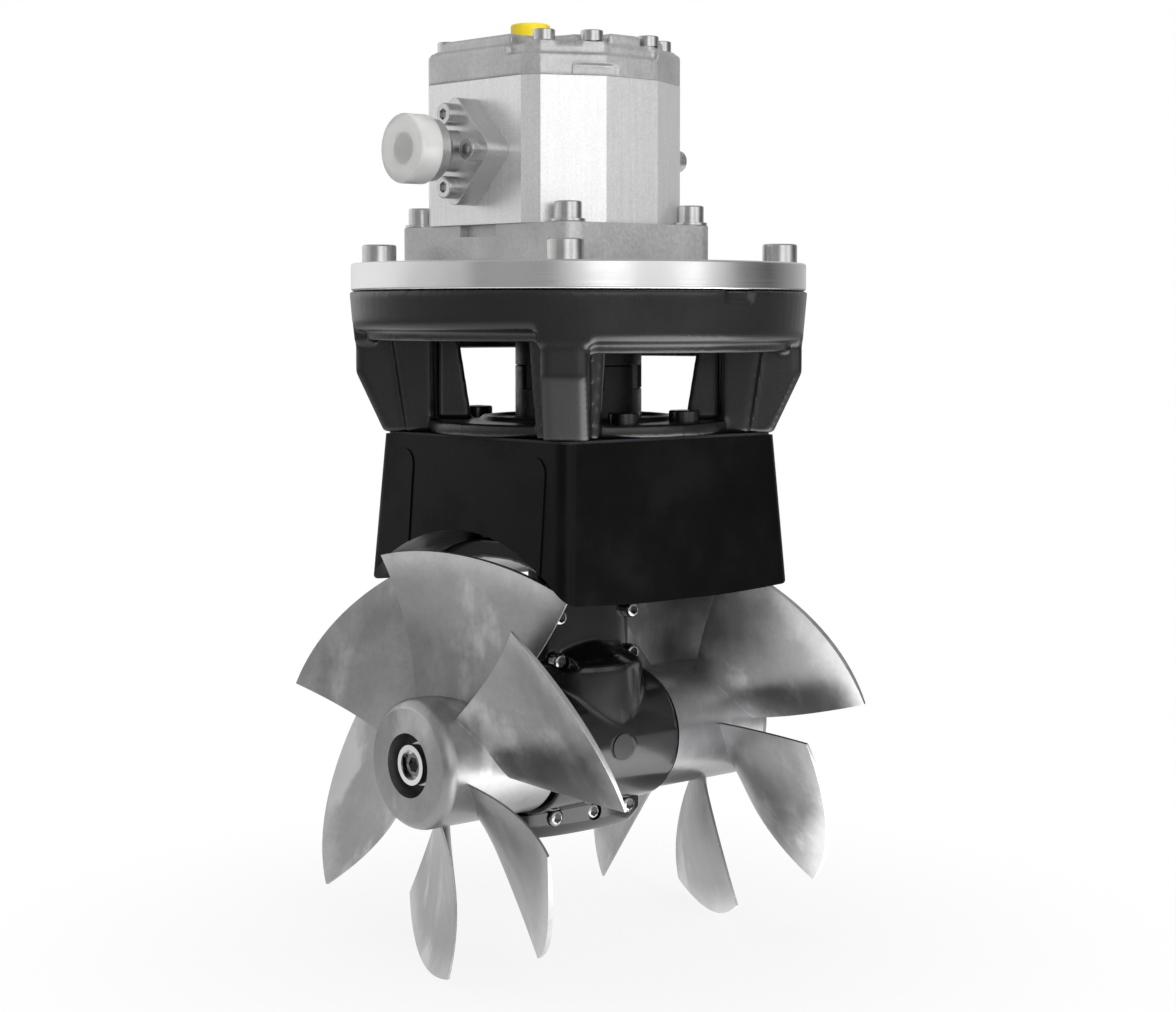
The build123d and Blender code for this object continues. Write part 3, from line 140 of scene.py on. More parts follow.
class Shading:
    """A shader tree with its place coordinates, and short ways to add nodes to it."""

    def __init__(self, tree, coordinate):
        self.tree = tree
        place = tree.nodes.new("ShaderNodeTexCoord")
        self.place = Socket(tree, place.outputs[coordinate])
        split = self.node("ShaderNodeSeparateXYZ", Vector=self.place)
        self.x, self.y, self.z = (Socket(tree, split.outputs[axis]) for axis in "XYZ")

    def node(self, kind, settings=None, **values):
        """Adds a node. A value's name is its socket's, or i and the socket's number."""
        node = self.tree.nodes.new(kind)
        for key, value in (settings or {}).items():
            if key == "stops":
                elements = node.color_ramp.elements
                while len(elements) < len(value):
                    elements.new(0.5)
                for element, (position, colour) in zip(elements, value):
                    element.position = position
                    element.color = (*colour, 1) if isinstance(colour, tuple) else (colour, colour, colour, 1)
            else:
                setattr(node, key, value)
        for key, value in values.items():
            numbered = key[0] == "i" and key[1:].isdigit()
            slot = node.inputs[int(key[1:]) if numbered else key.replace("_", " ")]
            if isinstance(value, Socket):
                self.tree.links.new(value.link, slot)
            else:
                slot.default_value = value
        return node

    def first(self, kind, settings=None, **values):
        """Adds a node and gives its first output."""
        return Socket(self.tree, self.node(kind, settings, **values).outputs[0])

    def ramp(self, value, *stops):
        """A colour by value. A stop is a position and a grey, or a position and a colour."""
        return self.first("ShaderNodeValToRGB", {"stops": stops}, Fac=value)

    def smooth(self, value, low, high, bottom=0.0, top=1.0):
        """Goes softly from bottom to top while the value goes from low to high."""
        return self.first("ShaderNodeMapRange", {"interpolation_type": "SMOOTHSTEP"}, Value=value,
                          From_Min=low, From_Max=high, To_Min=bottom, To_Max=top)

    def reach(self, across, along):
        """The distance from the axis that the two coordinates are measured from."""
        return (across * across + along * along) ** 0.5

    def mix(self, share, first, second):
        node = self.node("ShaderNodeMix", {"data_type": "RGBA"}, i0=share, i6=first, i7=second)
        return Socket(self.tree, node.outputs[2])

    def blend(self, share, first, second):
        return self.first("ShaderNodeMixShader", i0=share, i1=first, i2=second)

    def ray(self, *kinds):
        """One for the named kinds of light path, and zero for all others."""
        path = self.node("ShaderNodeLightPath")
        seen = [Socket(self.tree, path.outputs[kind]) for kind in kinds]
        total = seen[0]
        for other in seen[1:]:
            total = total.most(other)
        return total


white = (1, 1, 1, 1)
world = bpy.data.worlds.new("studio_air")
bpy.context.scene.world = world
world.use_nodes = True
world.node_tree.nodes.clear()
air = Shading(world.node_tree, "Generated")
# The share of a full turn is 0 towards -X, a quarter towards -Y and a half towards +X
turn = air.y.atan2(air.x) / (2 * math.pi) + 0.5
box_ring = air.ramp(turn, (0.0, 0.65), (0.09, 0.65), (0.15, 0.49), (0.222, 0.40), (0.244, 0.24),
                    (0.286, 0.28), (0.347, 0.24), (0.367, 0.43), (0.389, 0.69), (0.408, 1.0),
                    (0.447, 1.0), (0.467, 0.69), (0.508, 0.69), (0.53, 0.95), (0.553, 0.95),
                    (0.575, 0.63), (0.60, 0.42), (0.628, 0.18), (0.686, 0.07), (0.725, 0.17),
                    (0.772, 0.28), (0.86, 0.45), (1.0, 0.65))
box_edge_low, box_edge_high = 0.35, 0.8
ceiling_grey = (0.3, 0.3, 0.3, 1)
box_strength = 1.5
fill_strength = 0.35
soft_boxes = air.mix(air.smooth(air.z, box_edge_low, box_edge_high), box_ring, ceiling_grey)
seen_air = air.first("ShaderNodeBackground", Color=white, Strength=1.0)
mirrored_air = air.first("ShaderNodeBackground", Color=soft_boxes, Strength=box_strength)
filling_air = air.first("ShaderNodeBackground", Color=white, Strength=fill_strength)
all_air = air.blend(air.ray("Is Camera Ray", "Is Transmission Ray"),
                    air.blend(air.ray("Is Glossy Ray"), filling_air, mirrored_air), seen_air)
air.tree.links.new(all_air.link, air.node("ShaderNodeOutputWorld").inputs["Surface"])

# Studio floor: pale paper just below the lowest blades, with a faint shadow close to the thruster. Metal and
# paint see a painted reflection on it: a glow that fades outwards, and a painted pool of light at the right
# that lights the undersides.
floor_drop = 0.002
floor_width = 12.0
shadow_inner, shadow_outer, shadow_share = 0.10, 0.42, 0.14
pool_x, pool_y, pool_inner, pool_outer = 0.40, 0.10, 0.22, 0.42
sheen_inner, sheen_outer, sheen_strength = 0.4, 1.4, 4.0
sheen_near, sheen_far = (0.24, 0.24, 0.24, 1), (0.07, 0.07, 0.07, 1)
bpy.ops.object.select_all(action="DESELECT")
bpy.ops.mesh.primitive_plane_add(size=floor_width, location=(0, 0, cad_box[0][2] - floor_drop))
floor = bpy.context.object
floor.name = "studio_floor"
paper_material = bpy.data.materials.new("studio_paper")
paper_material.use_nodes = True
paper_material.node_tree.nodes.clear()
paper = Shading(paper_material.node_tree, "Object")
paper_reach = paper.reach(paper.x, paper.y)
near = paper.smooth(paper_reach, shadow_inner, shadow_outer, bottom=shadow_share, top=0.0)
plain = paper.first("ShaderNodeBsdfDiffuse", Color=(0.85, 0.85, 0.85, 1))
glow = paper.first("ShaderNodeEmission", Color=white, Strength=1.0)
# Painted pool of light: a bright patch of floor glow at the right, seen only in reflections
pool_reach = paper.reach(paper.x - pool_x, paper.y - pool_y)
painted_light_pool = paper.smooth(pool_reach, pool_inner, pool_outer, bottom=1.0, top=0.0)
sheen_ground = paper.mix(paper.smooth(paper_reach, sheen_inner, sheen_outer), sheen_near, sheen_far)
# Painted reflection: the floor glows for glossy rays only, with no lamp there, fading outwards and bright in
# the pool
painted_sheen = paper.first("ShaderNodeEmission", Color=paper.mix(painted_light_pool, sheen_ground, white), Strength=sheen_strength)
seen_paper = paper.blend(paper.ray("Is Camera Ray", "Is Transmission Ray"), plain,
                         paper.blend(near, glow, plain))
paper_surface = paper.blend(paper.ray("Is Glossy Ray"), seen_paper, painted_sheen)
paper.tree.links.new(paper_surface.link, paper.node("ShaderNodeOutputMaterial").inputs["Surface"])
floor.data.materials.append(paper_material)

# Soft studio lamps: a panel at the left, a low wide one at the right that lights the undersides, one near
# the camera for the faces of the motor, and one overhead. Each has its place, its size and its power in
# watts, and points at the middle of the thruster.
lamp_panels = (
    ("left_panel", (-1.5, -1.3, 0.9), (1.2, 1.2), 6.0),
    ("low_panel", (1.35, 0.55, 0.08), (1.6, 0.36), 8.0),
    ("front_panel", (1.9, -0.7, 0.6), (0.9, 0.9), 26.0),
    ("top_panel", (0.1, 0.1, 2.2), (1.4, 1.4), 9.0),
)
lamp_aim = Vector((0, 0, 0.15))
for lamp_name, lamp_place, lamp_size, lamp_power in lamp_panels:
    lamp_data = bpy.data.lights.new(lamp_name, "AREA")
    lamp_data.shape = "RECTANGLE"
    lamp_data.size, lamp_data.size_y = lamp_size
    lamp_data.energy = lamp_power
    lamp = bpy.data.objects.new(lamp_name, lamp_data)
    lamp.location = lamp_place
    lamp.visible_glossy = False
    lamp.rotation_euler = (lamp_aim - Vector(lamp_place)).to_track_quat("-Z", "Y").to_euler()
    bpy.context.scene.collection.objects.link(lamp)


# Leg: one black casting with flange, neck, tower and gear case, painted glossy. The round plug on its side
# and the boat-shaped skeg cover below it have the same paint. It is clamped inside the tunnel.
class Finish(Shading):
    """A material for a piece, on one principled shader."""

    def __init__(self, name, **fixed):
        self.material = bpy.data.materials.new(name)
        self.material.use_nodes = True
        super().__init__(self.material.node_tree, "Object")
        self.shader = self.tree.nodes["Principled BSDF"]
        for key, value in fixed.items():
            self.shader.inputs[key.replace("_", " ")].default_value = value

    def noise(self, scale, detail, roughness=0.5, stretch=(1, 1, 1)):
        """A cloudy pattern of about that many clouds in a metre."""
        place = self.first("ShaderNodeMapping", Vector=self.place, Scale=stretch)
        return self.first("ShaderNodeTexNoise", Vector=place, Scale=scale, Detail=detail, Roughness=roughness)

    def feed(self, name, value):
        self.tree.links.new(value.link, self.shader.inputs[name])

    def tint(self, pattern, *stops):
        """Colours the surface by a pattern."""
        self.feed("Base Color", self.ramp(pattern, *stops))

    def polish(self, pattern, low, high, shiniest, dullest):
        """Makes the surface duller where the pattern is high."""
        self.feed("Roughness", self.smooth(pattern, low, high, shiniest, dullest))

    def bump(self, pattern, distance, strength):
        """Roughens the surface by a pattern as high as the distance."""
        self.feed("Normal", self.first("ShaderNodeBump", Height=pattern, Distance=distance,
                                       Strength=strength))


def coat(finish, *pieces):
    """Gives a finish to pieces, or to CAD nodes by name."""
    for piece in pieces:
        piece = nodes[piece] if isinstance(piece, str) else piece
        piece.data.materials.clear()
        piece.data.materials.append(finish.material)


def hold(piece, name):
    """Lets a piece stand for a CAD node and move with its body."""
    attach(piece, nodes[name]["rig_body"])
    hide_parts(name)


def pick(piece):
    """Makes a piece the only one selected, and the active one."""
    bpy.ops.object.select_all(action="DESELECT")
    piece.select_set(True)
    bpy.context.view_layer.objects.active = piece


def apply_modifier(piece, kind, name, **settings):
    """Adds a modifier to the active piece and applies it."""
    modifier = piece.modifiers.new(name, kind)
    for key, value in settings.items():
        setattr(modifier, key, value)
    bpy.ops.object.modifier_apply(modifier=modifier.name)


def even_shade(piece, corner=30.0):
    """Shades curved faces smooth and keeps flat faces flat. The corner is in degrees."""
    pick(piece)
    bpy.ops.object.shade_smooth_by_angle(angle=math.radians(corner))
    apply_modifier(piece, "WEIGHTED_NORMAL", "even_normals", keep_sharp=True)


def cast(piece, grain, rounds, share=1.0):
    """Gives a piece the soft corners and hollows of a casting, and thins its faces to a share."""
    pick(piece)
    apply_modifier(piece, "REMESH", "cast_skin", mode="VOXEL", voxel_size=grain)
    apply_modifier(piece, "SMOOTH", "cast_corners", factor=0.5, iterations=rounds)
    if share < 1:
        apply_modifier(piece, "DECIMATE", "fewer_faces", ratio=share)
    bpy.ops.object.shade_smooth()
    return piece


def dressed(name, edge, corner=30.0, segments=2):
    """A copy of a CAD node with its seams merged and its curves shaded smooth. Its sharp edges are rounded
    to the size of edge, or left as they are where that is 0."""
    seam_gap = 0.000002
    flat_angle = math.radians(0.1)
    piece = bpy.data.objects.new(name + "_skin", nodes[name].data.copy())
    bpy.context.scene.collection.objects.link(piece)
    shape = bmesh.new()
    shape.from_mesh(piece.data)
    bmesh.ops.remove_doubles(shape, verts=shape.verts, dist=seam_gap)
    if edge:
        bmesh.ops.dissolve_limit(shape, angle_limit=flat_angle, verts=shape.verts, edges=shape.edges)
    shape.to_mesh(piece.data)
    shape.free()
    pick(piece)
    if edge:
        apply_modifier(piece, "BEVEL", "soft_edges", width=edge, segments=segments, limit_method="ANGLE",
                        angle_limit=math.radians(corner))
    even_shade(piece, corner)
    hold(piece, name)
    return piece


leg_paint = Finish("leg_paint", IOR=1.45, Coat_Weight=0.25, Coat_Roughness=0.06)
leg_grain = leg_paint.noise(scale=900.0, detail=2.0)
leg_cloud = leg_paint.noise(scale=28.0, detail=4.0)
leg_paint.tint(leg_cloud, (0.3, 0.002), (0.8, 0.006))
leg_paint.polish(leg_cloud, low=0.3, high=0.75, shiniest=0.14, dullest=0.24)
leg_paint.bump(leg_grain, distance=0.0001, strength=0.25)
leg_skin = cast(dressed("leg_housing", edge=0), grain=0.0010, rounds=14, share=0.5)
coat(leg_paint, leg_skin, dressed("case_plug", edge=0.0002), dressed("skeg_cover", edge=0.0006))

# Propellers: six twisted blades and a hub cast in one grey metal, brushed to a satin sheen. The surface is
# cloudy, with pale rubbed patches, and paler along the worn tips. Each sits on a rubber bushing.
blade_corner = 40.0
wear_start, blade_tip = 0.100, 0.121
blade_metal = Finish("propeller_satin", Metallic=0.92, IOR=1.5)
blade_cloud = blade_metal.noise(scale=22.0, detail=5.0, roughness=0.62)
blade_scuff = blade_metal.noise(scale=70.0, detail=4.0, roughness=0.7, stretch=(1.0, 1.0, 0.3))
blade_grain = blade_metal.noise(scale=420.0, detail=3.0, roughness=0.6)
blade_patches = blade_metal.noise(scale=26.0, detail=4.0, roughness=0.6, stretch=(1.0, 1.0, 0.45))
blade_reach = blade_metal.reach(blade_metal.x, blade_metal.z)
blade_wear = blade_metal.smooth(blade_reach, wear_start, blade_tip, top=0.22)
blade_rub = blade_metal.smooth(blade_patches, low=0.55, high=0.70, top=0.24)
blade_metal.tint(blade_cloud * 0.65 + blade_scuff * 0.25 + blade_grain * 0.1 + blade_wear + blade_rub,
                 (0.34, (0.25, 0.25, 0.255)), (0.54, (0.34, 0.34, 0.345)), (0.80, 0.56))
blade_metal.polish(blade_cloud * 0.5 + blade_scuff * 0.5, low=0.35, high=0.65, shiniest=0.285, dullest=0.41)
blade_metal.bump(blade_grain, distance=0.00003, strength=0.2)
coat(blade_metal, dressed("front_propeller", edge=0.0004, corner=blade_corner),
     dressed("rear_propeller", edge=0.0004, corner=blade_corner))

# Rubber: hub bushings, the gasket under the bracket, the coupling spider and the shaft seals. All black,
# with a fine dull grain.
rubber = Finish("black_rubber", Specular_IOR_Level=0.4)
rubber_grain = rubber.noise(scale=600.0, detail=3.0)
rubber.tint(rubber_grain, (0.3, (0.010, 0.012, 0.015)), (0.8, (0.026, 0.028, 0.032)))
rubber.polish(rubber_grain, low=0.2, high=0.8, shiniest=0.45, dullest=0.65)
rubber.bump(rubber_grain, distance=0.0002, strength=0.3)
coat(rubber, "saddle_gasket", "coupling_spider", "front_prop_seal", "rear_prop_seal", "drive_seal",
     "motor_shaft_seal", dressed("front_hub_bushing", edge=0.0004), dressed("rear_hub_bushing", edge=0.0004))

# Inner steel: shafts, gears, bearings, pins and bearing carriers, turned or ground bright. They sit inside
# the leg, the coupling and the motor, where little of them shows.
steel = Finish("bright_steel", Metallic=1.0)
steel_cloud = steel.noise(scale=120.0, detail=4.0, roughness=0.6)
steel_grain = steel.noise(scale=1500.0, detail=2.0)
steel.tint(steel_cloud, (0.3, 0.52), (0.75, (0.70, 0.70, 0.69)))
steel.polish(steel_cloud, low=0.3, high=0.75, shiniest=0.19, dullest=0.265)
steel.bump(steel_grain, distance=0.00008, strength=0.25)
coat(steel, "propeller_shaft", "drive_shaft", "bevel_gear", "bevel_pinion", "motor_drive_gear",
     "motor_driven_gear", "front_prop_bearing", "rear_prop_bearing", "lower_drive_bearing",
     "upper_drive_bearing", "drive_pins", "front_bearing_block", "rear_bearing_block",
     "front_bearing_carrier", "rear_bearing_carrier")

# Propeller nuts: a bright turned ring on each shaft end, with a socket screw sunk in its hollow. The
# hollow and the ring are one metal. Its colour is painted dark inside the ring's edge as shade in the hollow,
# and bright outside it.
hollow_edge, ring_edge = 0.0070, 0.0082
nut_steel = Finish("nut_steel", Metallic=1.0)
nut_cloud = nut_steel.noise(scale=180.0, detail=3.0)
painted_hollow_shade = nut_steel.smooth(nut_steel.reach(nut_steel.x, nut_steel.z), hollow_edge, ring_edge)
# Painted shade: the colour goes dark inside the ring's edge, where the hollow round the screw lies in shadow
nut_steel.tint(painted_hollow_shade * 0.9 + nut_cloud * 0.1, (0.0, 0.16), (1.0, 0.80))
nut_steel.polish(nut_cloud, low=0.3, high=0.7, shiniest=0.10, dullest=0.2)
coat(nut_steel, dressed("front_propeller_nut", edge=0.0012, segments=4),
     dressed("rear_propeller_nut", edge=0.0012, segments=4))


# Socket head screws: bright steel, turned, with a rounded rim and a hexagon socket, and a fine knurl on some
# small heads. One of each size is made along Z, and its copies stand on their seats on the neck, the skeg
# cover, the base ring and the plate. Their shanks go down into tapped holes.
def socket_screw(head_radius, head_height, shank_radius, shank_length, key_width, rim, ribs=0):
    """A socket head screw that stands on z = 0, with a knurl of so many ribs."""
    plain_sides = 64
    knurl_share = 0.985
    nearly = 0.999
    bpy.ops.object.select_all(action="DESELECT")
    bpy.ops.mesh.primitive_cylinder_add(vertices=2 * ribs if ribs else plain_sides, radius=head_radius,
                                        depth=head_height, location=(0, 0, head_height / 2))
    screw = bpy.context.object
    bpy.ops.object.transform_apply(location=True)
    bpy.ops.object.mode_set(mode="EDIT")
    bpy.ops.mesh.select_mode(type="FACE")
    bpy.ops.mesh.select_all(action="DESELECT")
    shape = bmesh.from_edit_mesh(screw.data)
    for face in shape.faces:
        face.select_set(face.normal.z < -nearly)
    bmesh.update_edit_mesh(screw.data)
    bpy.ops.mesh.inset(thickness=head_radius - shank_radius, depth=0)
    bpy.ops.mesh.extrude_region_move(TRANSFORM_OT_translate={"value": (0, 0, -shank_length)})
    bpy.ops.mesh.select_mode(type="EDGE")
    bpy.ops.mesh.select_all(action="DESELECT")
    shape = bmesh.from_edit_mesh(screw.data)
    for edge in shape.edges:
        edge.select_set(all(vertex.co.z > head_height * nearly for vertex in edge.verts))
    bmesh.update_edit_mesh(screw.data)
    bpy.ops.mesh.bevel(offset=rim, segments=4)
    if ribs:
        bpy.ops.mesh.select_mode(type="VERT")
        bpy.ops.mesh.select_all(action="DESELECT")
        shape = bmesh.from_edit_mesh(screw.data)
        for vertex in shape.verts:
            step = round(math.atan2(vertex.co.y, vertex.co.x) * ribs / math.pi)
            outside = vertex.co.to_2d().length > head_radius * nearly and vertex.co.z >= 0
            vertex.select_set(outside and step % 2 == 0)
        bmesh.update_edit_mesh(screw.data)
        bpy.ops.transform.resize(value=(knurl_share, knurl_share, 1))
    bpy.ops.object.mode_set(mode="OBJECT")
    bpy.ops.object.select_all(action="DESELECT")
    bpy.ops.mesh.primitive_cylinder_add(vertices=6, radius=key_width / math.sqrt(3), depth=head_height,
                                        location=(0, 0, head_height))
    key = bpy.context.object
    pick(screw)
    apply_modifier(screw, "BOOLEAN", "key_hole", object=key, operation="DIFFERENCE")
    bpy.data.objects.remove(key)
    even_shade(screw, corner=35.0)
    return screw


def set_screws(name, finish, screw, seats):
    """Copies of a screw on its seats, as one piece that stands for the node. A seat is its place and the
    way that its head points."""
    copies = []
    for place, outward in seats:
        copy = bpy.data.objects.new(name + "_set", screw.data.copy())
        bpy.context.scene.collection.objects.link(copy)
        copy.location = place
        copy.rotation_euler = Vector(outward).to_track_quat("Z", "Y").to_euler()
        copies.append(copy)
    bpy.data.objects.remove(screw)
    pick(copies[0])
    for copy in copies:
        copy.select_set(True)
    bpy.ops.object.join()
    bpy.ops.object.transform_apply(location=True, rotation=True)
    hold(copies[0], name)
    coat(finish, copies[0])


both_ways = (-1, 1)
up = (0, 0, 1)
dark_steel = Finish("screw_dark_steel", Metallic=1.0)
dark_cloud = dark_steel.noise(scale=200.0, detail=3.0)
dark_steel.tint(dark_cloud, (0.3, 0.24), (0.75, 0.40))
dark_steel.polish(dark_cloud, low=0.3, high=0.75, shiniest=0.12, dullest=0.24)
neck_face = 0.012
neck_spread = 0.029
neck_levels = (0.051, 0.077)
neck_seats = [((side * neck_face, end * neck_spread, z), (side, 0, 0))
              for side in both_ways for end in both_ways for z in neck_levels]
neck_screw = socket_screw(head_radius=0.005, head_height=0.006, shank_radius=0.003, shank_length=0.008,
                          key_width=0.0055, rim=0.0020)
set_screws("neck_screws", dark_steel, neck_screw, neck_seats)
skeg_head = 0.006
skeg_level = -0.0425
skeg_middle_gap = 0.00002
skeg_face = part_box("skeg_screws")[1].x - skeg_head
skeg_seats = [((side * skeg_face, y, skeg_level), (side, 0, 0))
              for side in both_ways for y in (-neck_spread, 0, neck_spread)]
skeg_screw = socket_screw(head_radius=0.005, head_height=skeg_head, shank_radius=0.003,
                          shank_length=skeg_face - skeg_middle_gap, key_width=0.0055, rim=0.0020)
set_screws("skeg_screws", dark_steel, skeg_screw, skeg_seats)
leg_head = 0.0065
leg_seat_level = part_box("leg_fixing_screws")[1].z - leg_head
leg_screw_x, leg_screw_y = 0.066, 0.024
leg_seats = [((end * leg_screw_x, side * leg_screw_y, leg_seat_level), up)
             for end in both_ways for side in both_ways]
leg_screw = socket_screw(head_radius=0.009, head_height=leg_head, shank_radius=0.005, shank_length=0.096,
                         key_width=0.008, rim=0.0012)
set_screws("leg_fixing_screws", leg_paint, leg_screw, leg_seats)
plate_head = 0.014
plate_head_radius = 0.0103
plate_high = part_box("plate_screws")[1]
plate_circle = (plate_high.x - plate_head_radius) * math.sqrt(2)
plate_turns = [math.radians(45 + 90 * quarter) for quarter in range(4)]
plate_seat_level = plate_high.z - plate_head
plate_seats = [((plate_circle * math.cos(angle), plate_circle * math.sin(angle), plate_seat_level), up)
               for angle in plate_turns]
plate_screw = socket_screw(head_radius=plate_head_radius, head_height=plate_head, shank_radius=0.007,
                           shank_length=0.034, key_width=0.012, rim=0.0014)
set_screws("plate_screws", steel, plate_screw, plate_seats)

# Saddle: a heavy moulded block, dull black, with rubbed smudges on its flat sides. The leg screws pass
# through it, and the bracket stands on its top with a thin rubber gasket between them.
saddle_skin = Finish("saddle_black", Specular_IOR_Level=0.12)
saddle_cloud = saddle_skin.noise(scale=16.0, detail=5.0, roughness=0.62)
saddle_grain = saddle_skin.noise(scale=900.0, detail=2.0)
saddle_skin.tint(saddle_cloud, (0.35, 0.001), (0.75, 0.004))
saddle_skin.polish(saddle_cloud, low=0.42, high=0.62, shiniest=0.29, dullest=0.55)
saddle_skin.bump(saddle_grain, distance=0.0002, strength=0.3)
coat(saddle_skin, dressed("tunnel_saddle", edge=0.0008))

# Motor bracket: one black casting with a round rim, a deck, four legs and a base ring, in satin paint. It
# carries the plate and the motor, and its legs leave four windows to the coupling.
bracket_skin = Finish("bracket_black", IOR=1.6)
bracket_cloud = bracket_skin.noise(scale=20.0, detail=4.0, roughness=0.55)
bracket_grain = bracket_skin.noise(scale=700.0, detail=3.0)
bracket_skin.tint(bracket_cloud, (0.3, 0.003), (0.8, 0.007))
bracket_skin.polish(bracket_cloud, low=0.3, high=0.75, shiniest=0.285, dullest=0.35)
bracket_skin.bump(bracket_grain, distance=0.0002, strength=0.3)
coat(bracket_skin, cast(dressed("motor_bracket", edge=0), grain=0.0012, rounds=12, share=0.4))

# Coupling: two cast jaw hubs in black, each clamped on its shaft, with the rubber spider between their
# jaws. It shows dark through the windows of the bracket.
coupling_black = Finish("coupling_black", Specular_IOR_Level=0.25)
coupling_cloud = coupling_black.noise(scale=240.0, detail=3.0)
coupling_black.tint(coupling_cloud, (0.3, 0.002), (0.8, 0.006))
coupling_black.polish(coupling_cloud, low=0.3, high=0.75, shiniest=0.3, dullest=0.45)
coat(coupling_black, dressed("coupling_lower_hub", edge=0.0006), dressed("coupling_upper_hub", edge=0.0006))

# Mounting plate: a turned disc of bright aluminium, with fine lathe lines round its edge. Four large socket
# screws hold it to the bracket.
plate_metal = Finish("plate_turned", Metallic=1.0)
plate_lines = plate_metal.noise(scale=2200.0, detail=2.0, roughness=0.5, stretch=(0.002, 0.002, 1.0))
plate_cloud = plate_metal.noise(scale=60.0, detail=4.0, roughness=0.6)
plate_metal.tint(plate_lines, (0.3, 0.75), (0.7, 0.80))
plate_metal.polish(plate_lines * 0.6 + plate_cloud * 0.4, low=0.3, high=0.7, shiniest=0.14, dullest=0.26)
plate_metal.bump(plate_lines, distance=0.00003, strength=0.15)
coat(plate_metal, dressed("mounting_plate", edge=0.0005))

# Motor front flange: a cast aluminium block with rounded edges, machined on its pads. Four screws with
# washers hold the motor on the plate.
cast_metal = Finish("cast_cover_metal", Metallic=0.7)
cast_speck = cast_metal.noise(scale=420.0, detail=4.0, roughness=0.65)
cast_cloud = cast_metal.noise(scale=45.0, detail=4.0, roughness=0.6)
cast_metal.tint(cast_speck * 0.6 + cast_cloud * 0.4, (0.3, 0.40), (0.7, 0.66))
cast_metal.polish(cast_speck, low=0.3, high=0.7, shiniest=0.34, dullest=0.5)
cast_metal.bump(cast_speck, distance=0.0004, strength=0.5)
coat(cast_metal, dressed("motor_front_flange", edge=0.0012, segments=3))
motor_head = 0.010
washer_radius = 0.010
washer_thickness = 0.002
motor_low, motor_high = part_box("motor_mount_screws")
motor_seats = [((x, y, motor_high.z - motor_head), up)
               for x in (motor_low.x + washer_radius, motor_high.x - washer_radius)
               for y in (motor_low.y + washer_radius, motor_high.y - washer_radius)]


def washered(screw, radius, thickness):
    """Adds a bevelled washer under a screw's head."""
    bpy.ops.object.select_all(action="DESELECT")
    bpy.ops.mesh.primitive_cylinder_add(vertices=64, radius=radius, depth=thickness,
                                        location=(0, 0, -thickness / 2))
    washer = bpy.context.object
    bpy.ops.object.transform_apply(location=True)
    apply_modifier(washer, "BEVEL", "washer_edge", width=thickness / 5, segments=2)
    even_shade(washer)
    pick(screw)
    washer.select_set(True)
    bpy.ops.object.join()
    return screw


motor_screw = socket_screw(head_radius=0.008, head_height=motor_head, shank_radius=0.005, shank_length=0.036,
                           key_width=0.008, rim=0.0012)
set_screws("motor_mount_screws", steel, washered(motor_screw, washer_radius, washer_thickness), motor_seats)

# Motor body: an extruded aluminium block, planed on its flats, that holds the two motor gears. Flats and
# round ends show as bands of light and shade.
body_metal = Finish("motor_body_machined", Metallic=0.75)
body_speck = body_metal.noise(scale=900.0, detail=3.0, roughness=0.7)
body_draw = body_metal.noise(scale=500.0, detail=3.0, roughness=0.6, stretch=(1.0, 1.0, 0.05))
body_metal.tint(body_speck * 0.7 + body_draw * 0.3, (0.3, 0.72), (0.7, 0.96))
body_metal.polish(body_speck, low=0.3, high=0.7, shiniest=0.29, dullest=0.42)
body_metal.bump(body_speck * 0.6 + body_draw * 0.4, distance=0.0001, strength=0.4)
coat(body_metal, dressed("motor_gear_body", edge=0.0006, corner=12.0))

# Motor rear cover: cast aluminium, left rough, with a ledge, a raised middle and a slot in one corner.
# Rounded casting ribs run from its middle to its corners. Eight socket screws clamp it over the gears.
rib_radius = 0.0045
rib_drop = 0.0020
rib_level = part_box("motor_rear_cover")[1].z - rib_drop - rib_radius
rib_paths = (
    ((-0.022, 0.0), (0.030, -0.022)),
    ((-0.022, -0.010), (-0.002, -0.046)),
    ((-0.022, 0.0), (0.030, 0.022)),
    ((-0.030, 0.010), (-0.044, 0.046)),
    ((0.010, 0.0), (0.036, 0.0)),
    ((-0.044, -0.010), (-0.052, -0.044)),
)
cover = dressed("motor_rear_cover", edge=0.0010, segments=3)
ribs = []
for start, end in rib_paths:
    line = Vector(end) - Vector(start)
    middle = (Vector(start) + Vector(end)) / 2
    bpy.ops.object.select_all(action="DESELECT")
    bpy.ops.mesh.primitive_cylinder_add(vertices=32, radius=rib_radius, depth=line.length,
                                        location=(middle.x, middle.y, rib_level),
                                        rotation=(math.pi / 2, 0, math.atan2(line.y, line.x) + math.pi / 2))
    rib = bpy.context.object
    apply_modifier(rib, "BEVEL", "rib_ends", width=rib_radius * 0.8, segments=4)
    ribs.append(rib)
pick(cover)
for rib in ribs:
    rib.select_set(True)
bpy.ops.object.join()
coat(cast_metal, cast(cover, grain=0.0009, rounds=5))
cover_seat_depth = 0.008
cover_spots = ((0.044, 0.046), (0.0585, 0.022))
cover_low, cover_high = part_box("rear_cover_screws")
cover_middle = (cover_low.x + cover_high.x) / 2
cover_seats = [((cover_middle + side * x, end * y, cover_high.z - cover_seat_depth), up)
               for side in both_ways for end in both_ways for x, y in cover_spots]
cover_screw = socket_screw(head_radius=0.0065, head_height=0.0062, shank_radius=0.004, shank_length=0.030,
                           key_width=0.006, rim=0.0008, ribs=36)
set_screws("rear_cover_screws", steel, cover_screw, cover_seats)

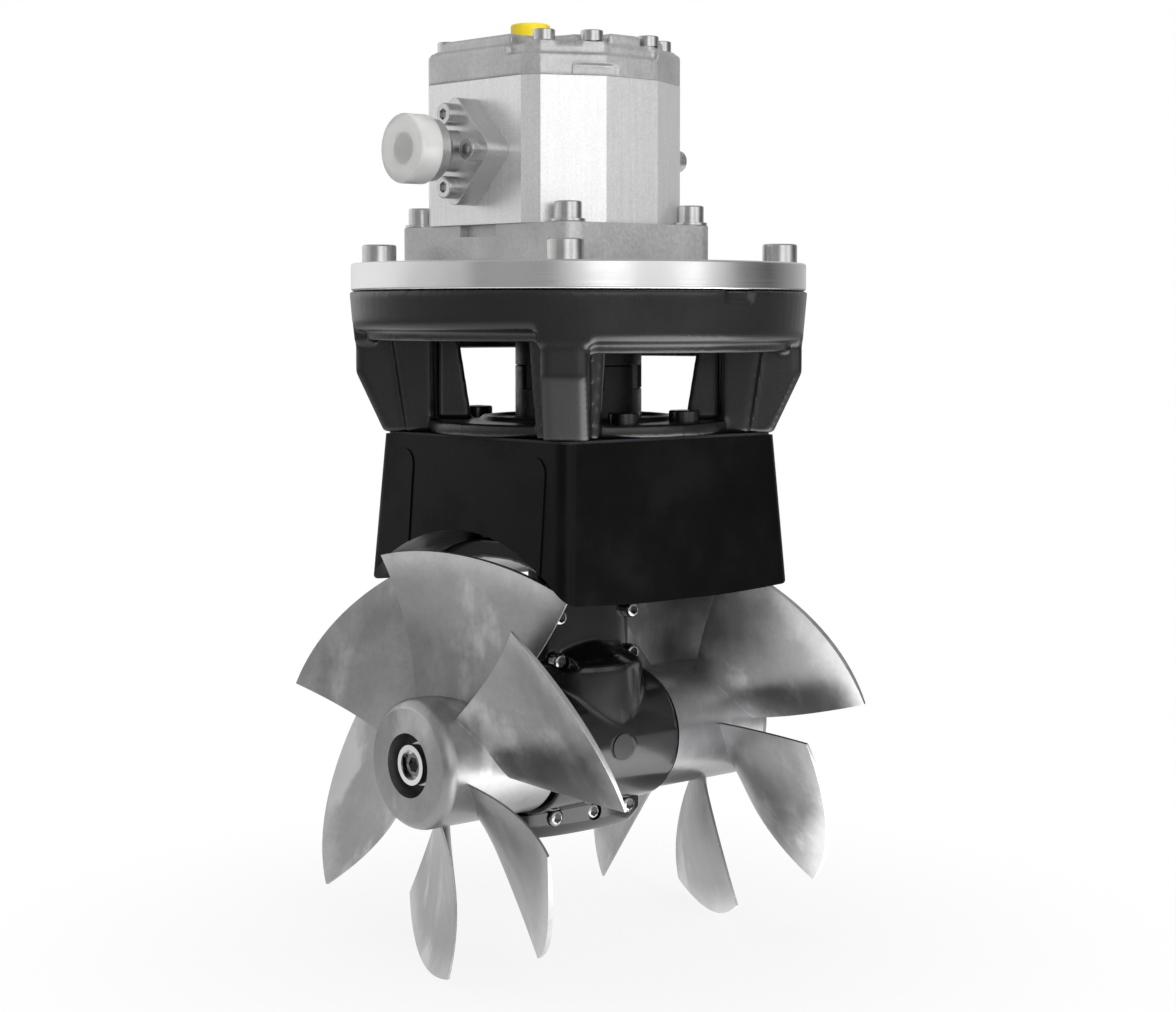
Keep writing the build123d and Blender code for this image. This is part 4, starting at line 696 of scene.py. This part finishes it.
# Port fittings: machined steel flanges with a flared hose end, each closed by a pale push-on cap. Four
# knurled screws hold each on the motor.
port_steel = Finish("port_steel", Metallic=1.0)
port_speck = port_steel.noise(scale=700.0, detail=3.0, roughness=0.65)
port_cloud = port_steel.noise(scale=40.0, detail=3.0, roughness=0.5)
port_steel.tint(port_speck * 0.6 + port_cloud * 0.4, (0.3, 0.60), (0.7, 0.82))
port_steel.polish(port_speck, low=0.3, high=0.7, shiniest=0.285, dullest=0.4)
port_steel.bump(port_speck, distance=0.0002, strength=0.4)
coat(port_steel, dressed("inlet_port_flange", edge=0.0012, segments=3),
     dressed("outlet_port_flange", edge=0.0012, segments=3))
port_head = 0.008
port_head_radius = 0.0065
for screws, outward in (("inlet_flange_screws", -1), ("outlet_flange_screws", 1)):
    low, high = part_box(screws)
    spread = (high.x - low.x) / 2 - port_head_radius
    seat_y = (low.y if outward < 0 else high.y) - outward * port_head
    middle = Vector(((low.x + high.x) / 2, seat_y, (low.z + high.z) / 2))
    port_offsets = ((spread, 0, 0), (-spread, 0, 0), (0, 0, spread), (0, 0, -spread))
    port_seats = [(middle + Vector(offset), (0, outward, 0)) for offset in port_offsets]
    port_screw = socket_screw(head_radius=port_head_radius, head_height=port_head, shank_radius=0.004,
                              shank_length=0.030, key_width=0.006, rim=0.0008, ribs=36)
    set_screws(screws, steel, port_screw, port_seats)
cap_plastic = Finish("cap_plastic", Transmission_Weight=0.7, IOR=1.25)
cap_cloud = cap_plastic.noise(scale=60.0, detail=3.0)
cap_plastic.tint(cap_cloud, (0.3, (0.86, 0.86, 0.85)), (0.7, (0.96, 0.96, 0.95)))
cap_plastic.polish(cap_cloud, low=0.3, high=0.7, shiniest=0.32, dullest=0.45)
coat(cap_plastic, dressed("inlet_cap", edge=0), dressed("outlet_cap", edge=0))

# Drain plug: yellow plastic with a low round head, screwed into the boss on the rear cover, where it keeps
# the drain port closed until a hose is fitted.
plug_plastic = Finish("plug_yellow", IOR=1.45)
plug_cloud = plug_plastic.noise(scale=90.0, detail=3.0)
plug_plastic.tint(plug_cloud, (0.3, (0.98, 0.72, 0.01)), (0.7, (1.0, 0.80, 0.03)))
plug_plastic.polish(plug_cloud, low=0.3, high=0.7, shiniest=0.3, dullest=0.4)
coat(plug_plastic, dressed("drain_plug", edge=0.0006, segments=3))
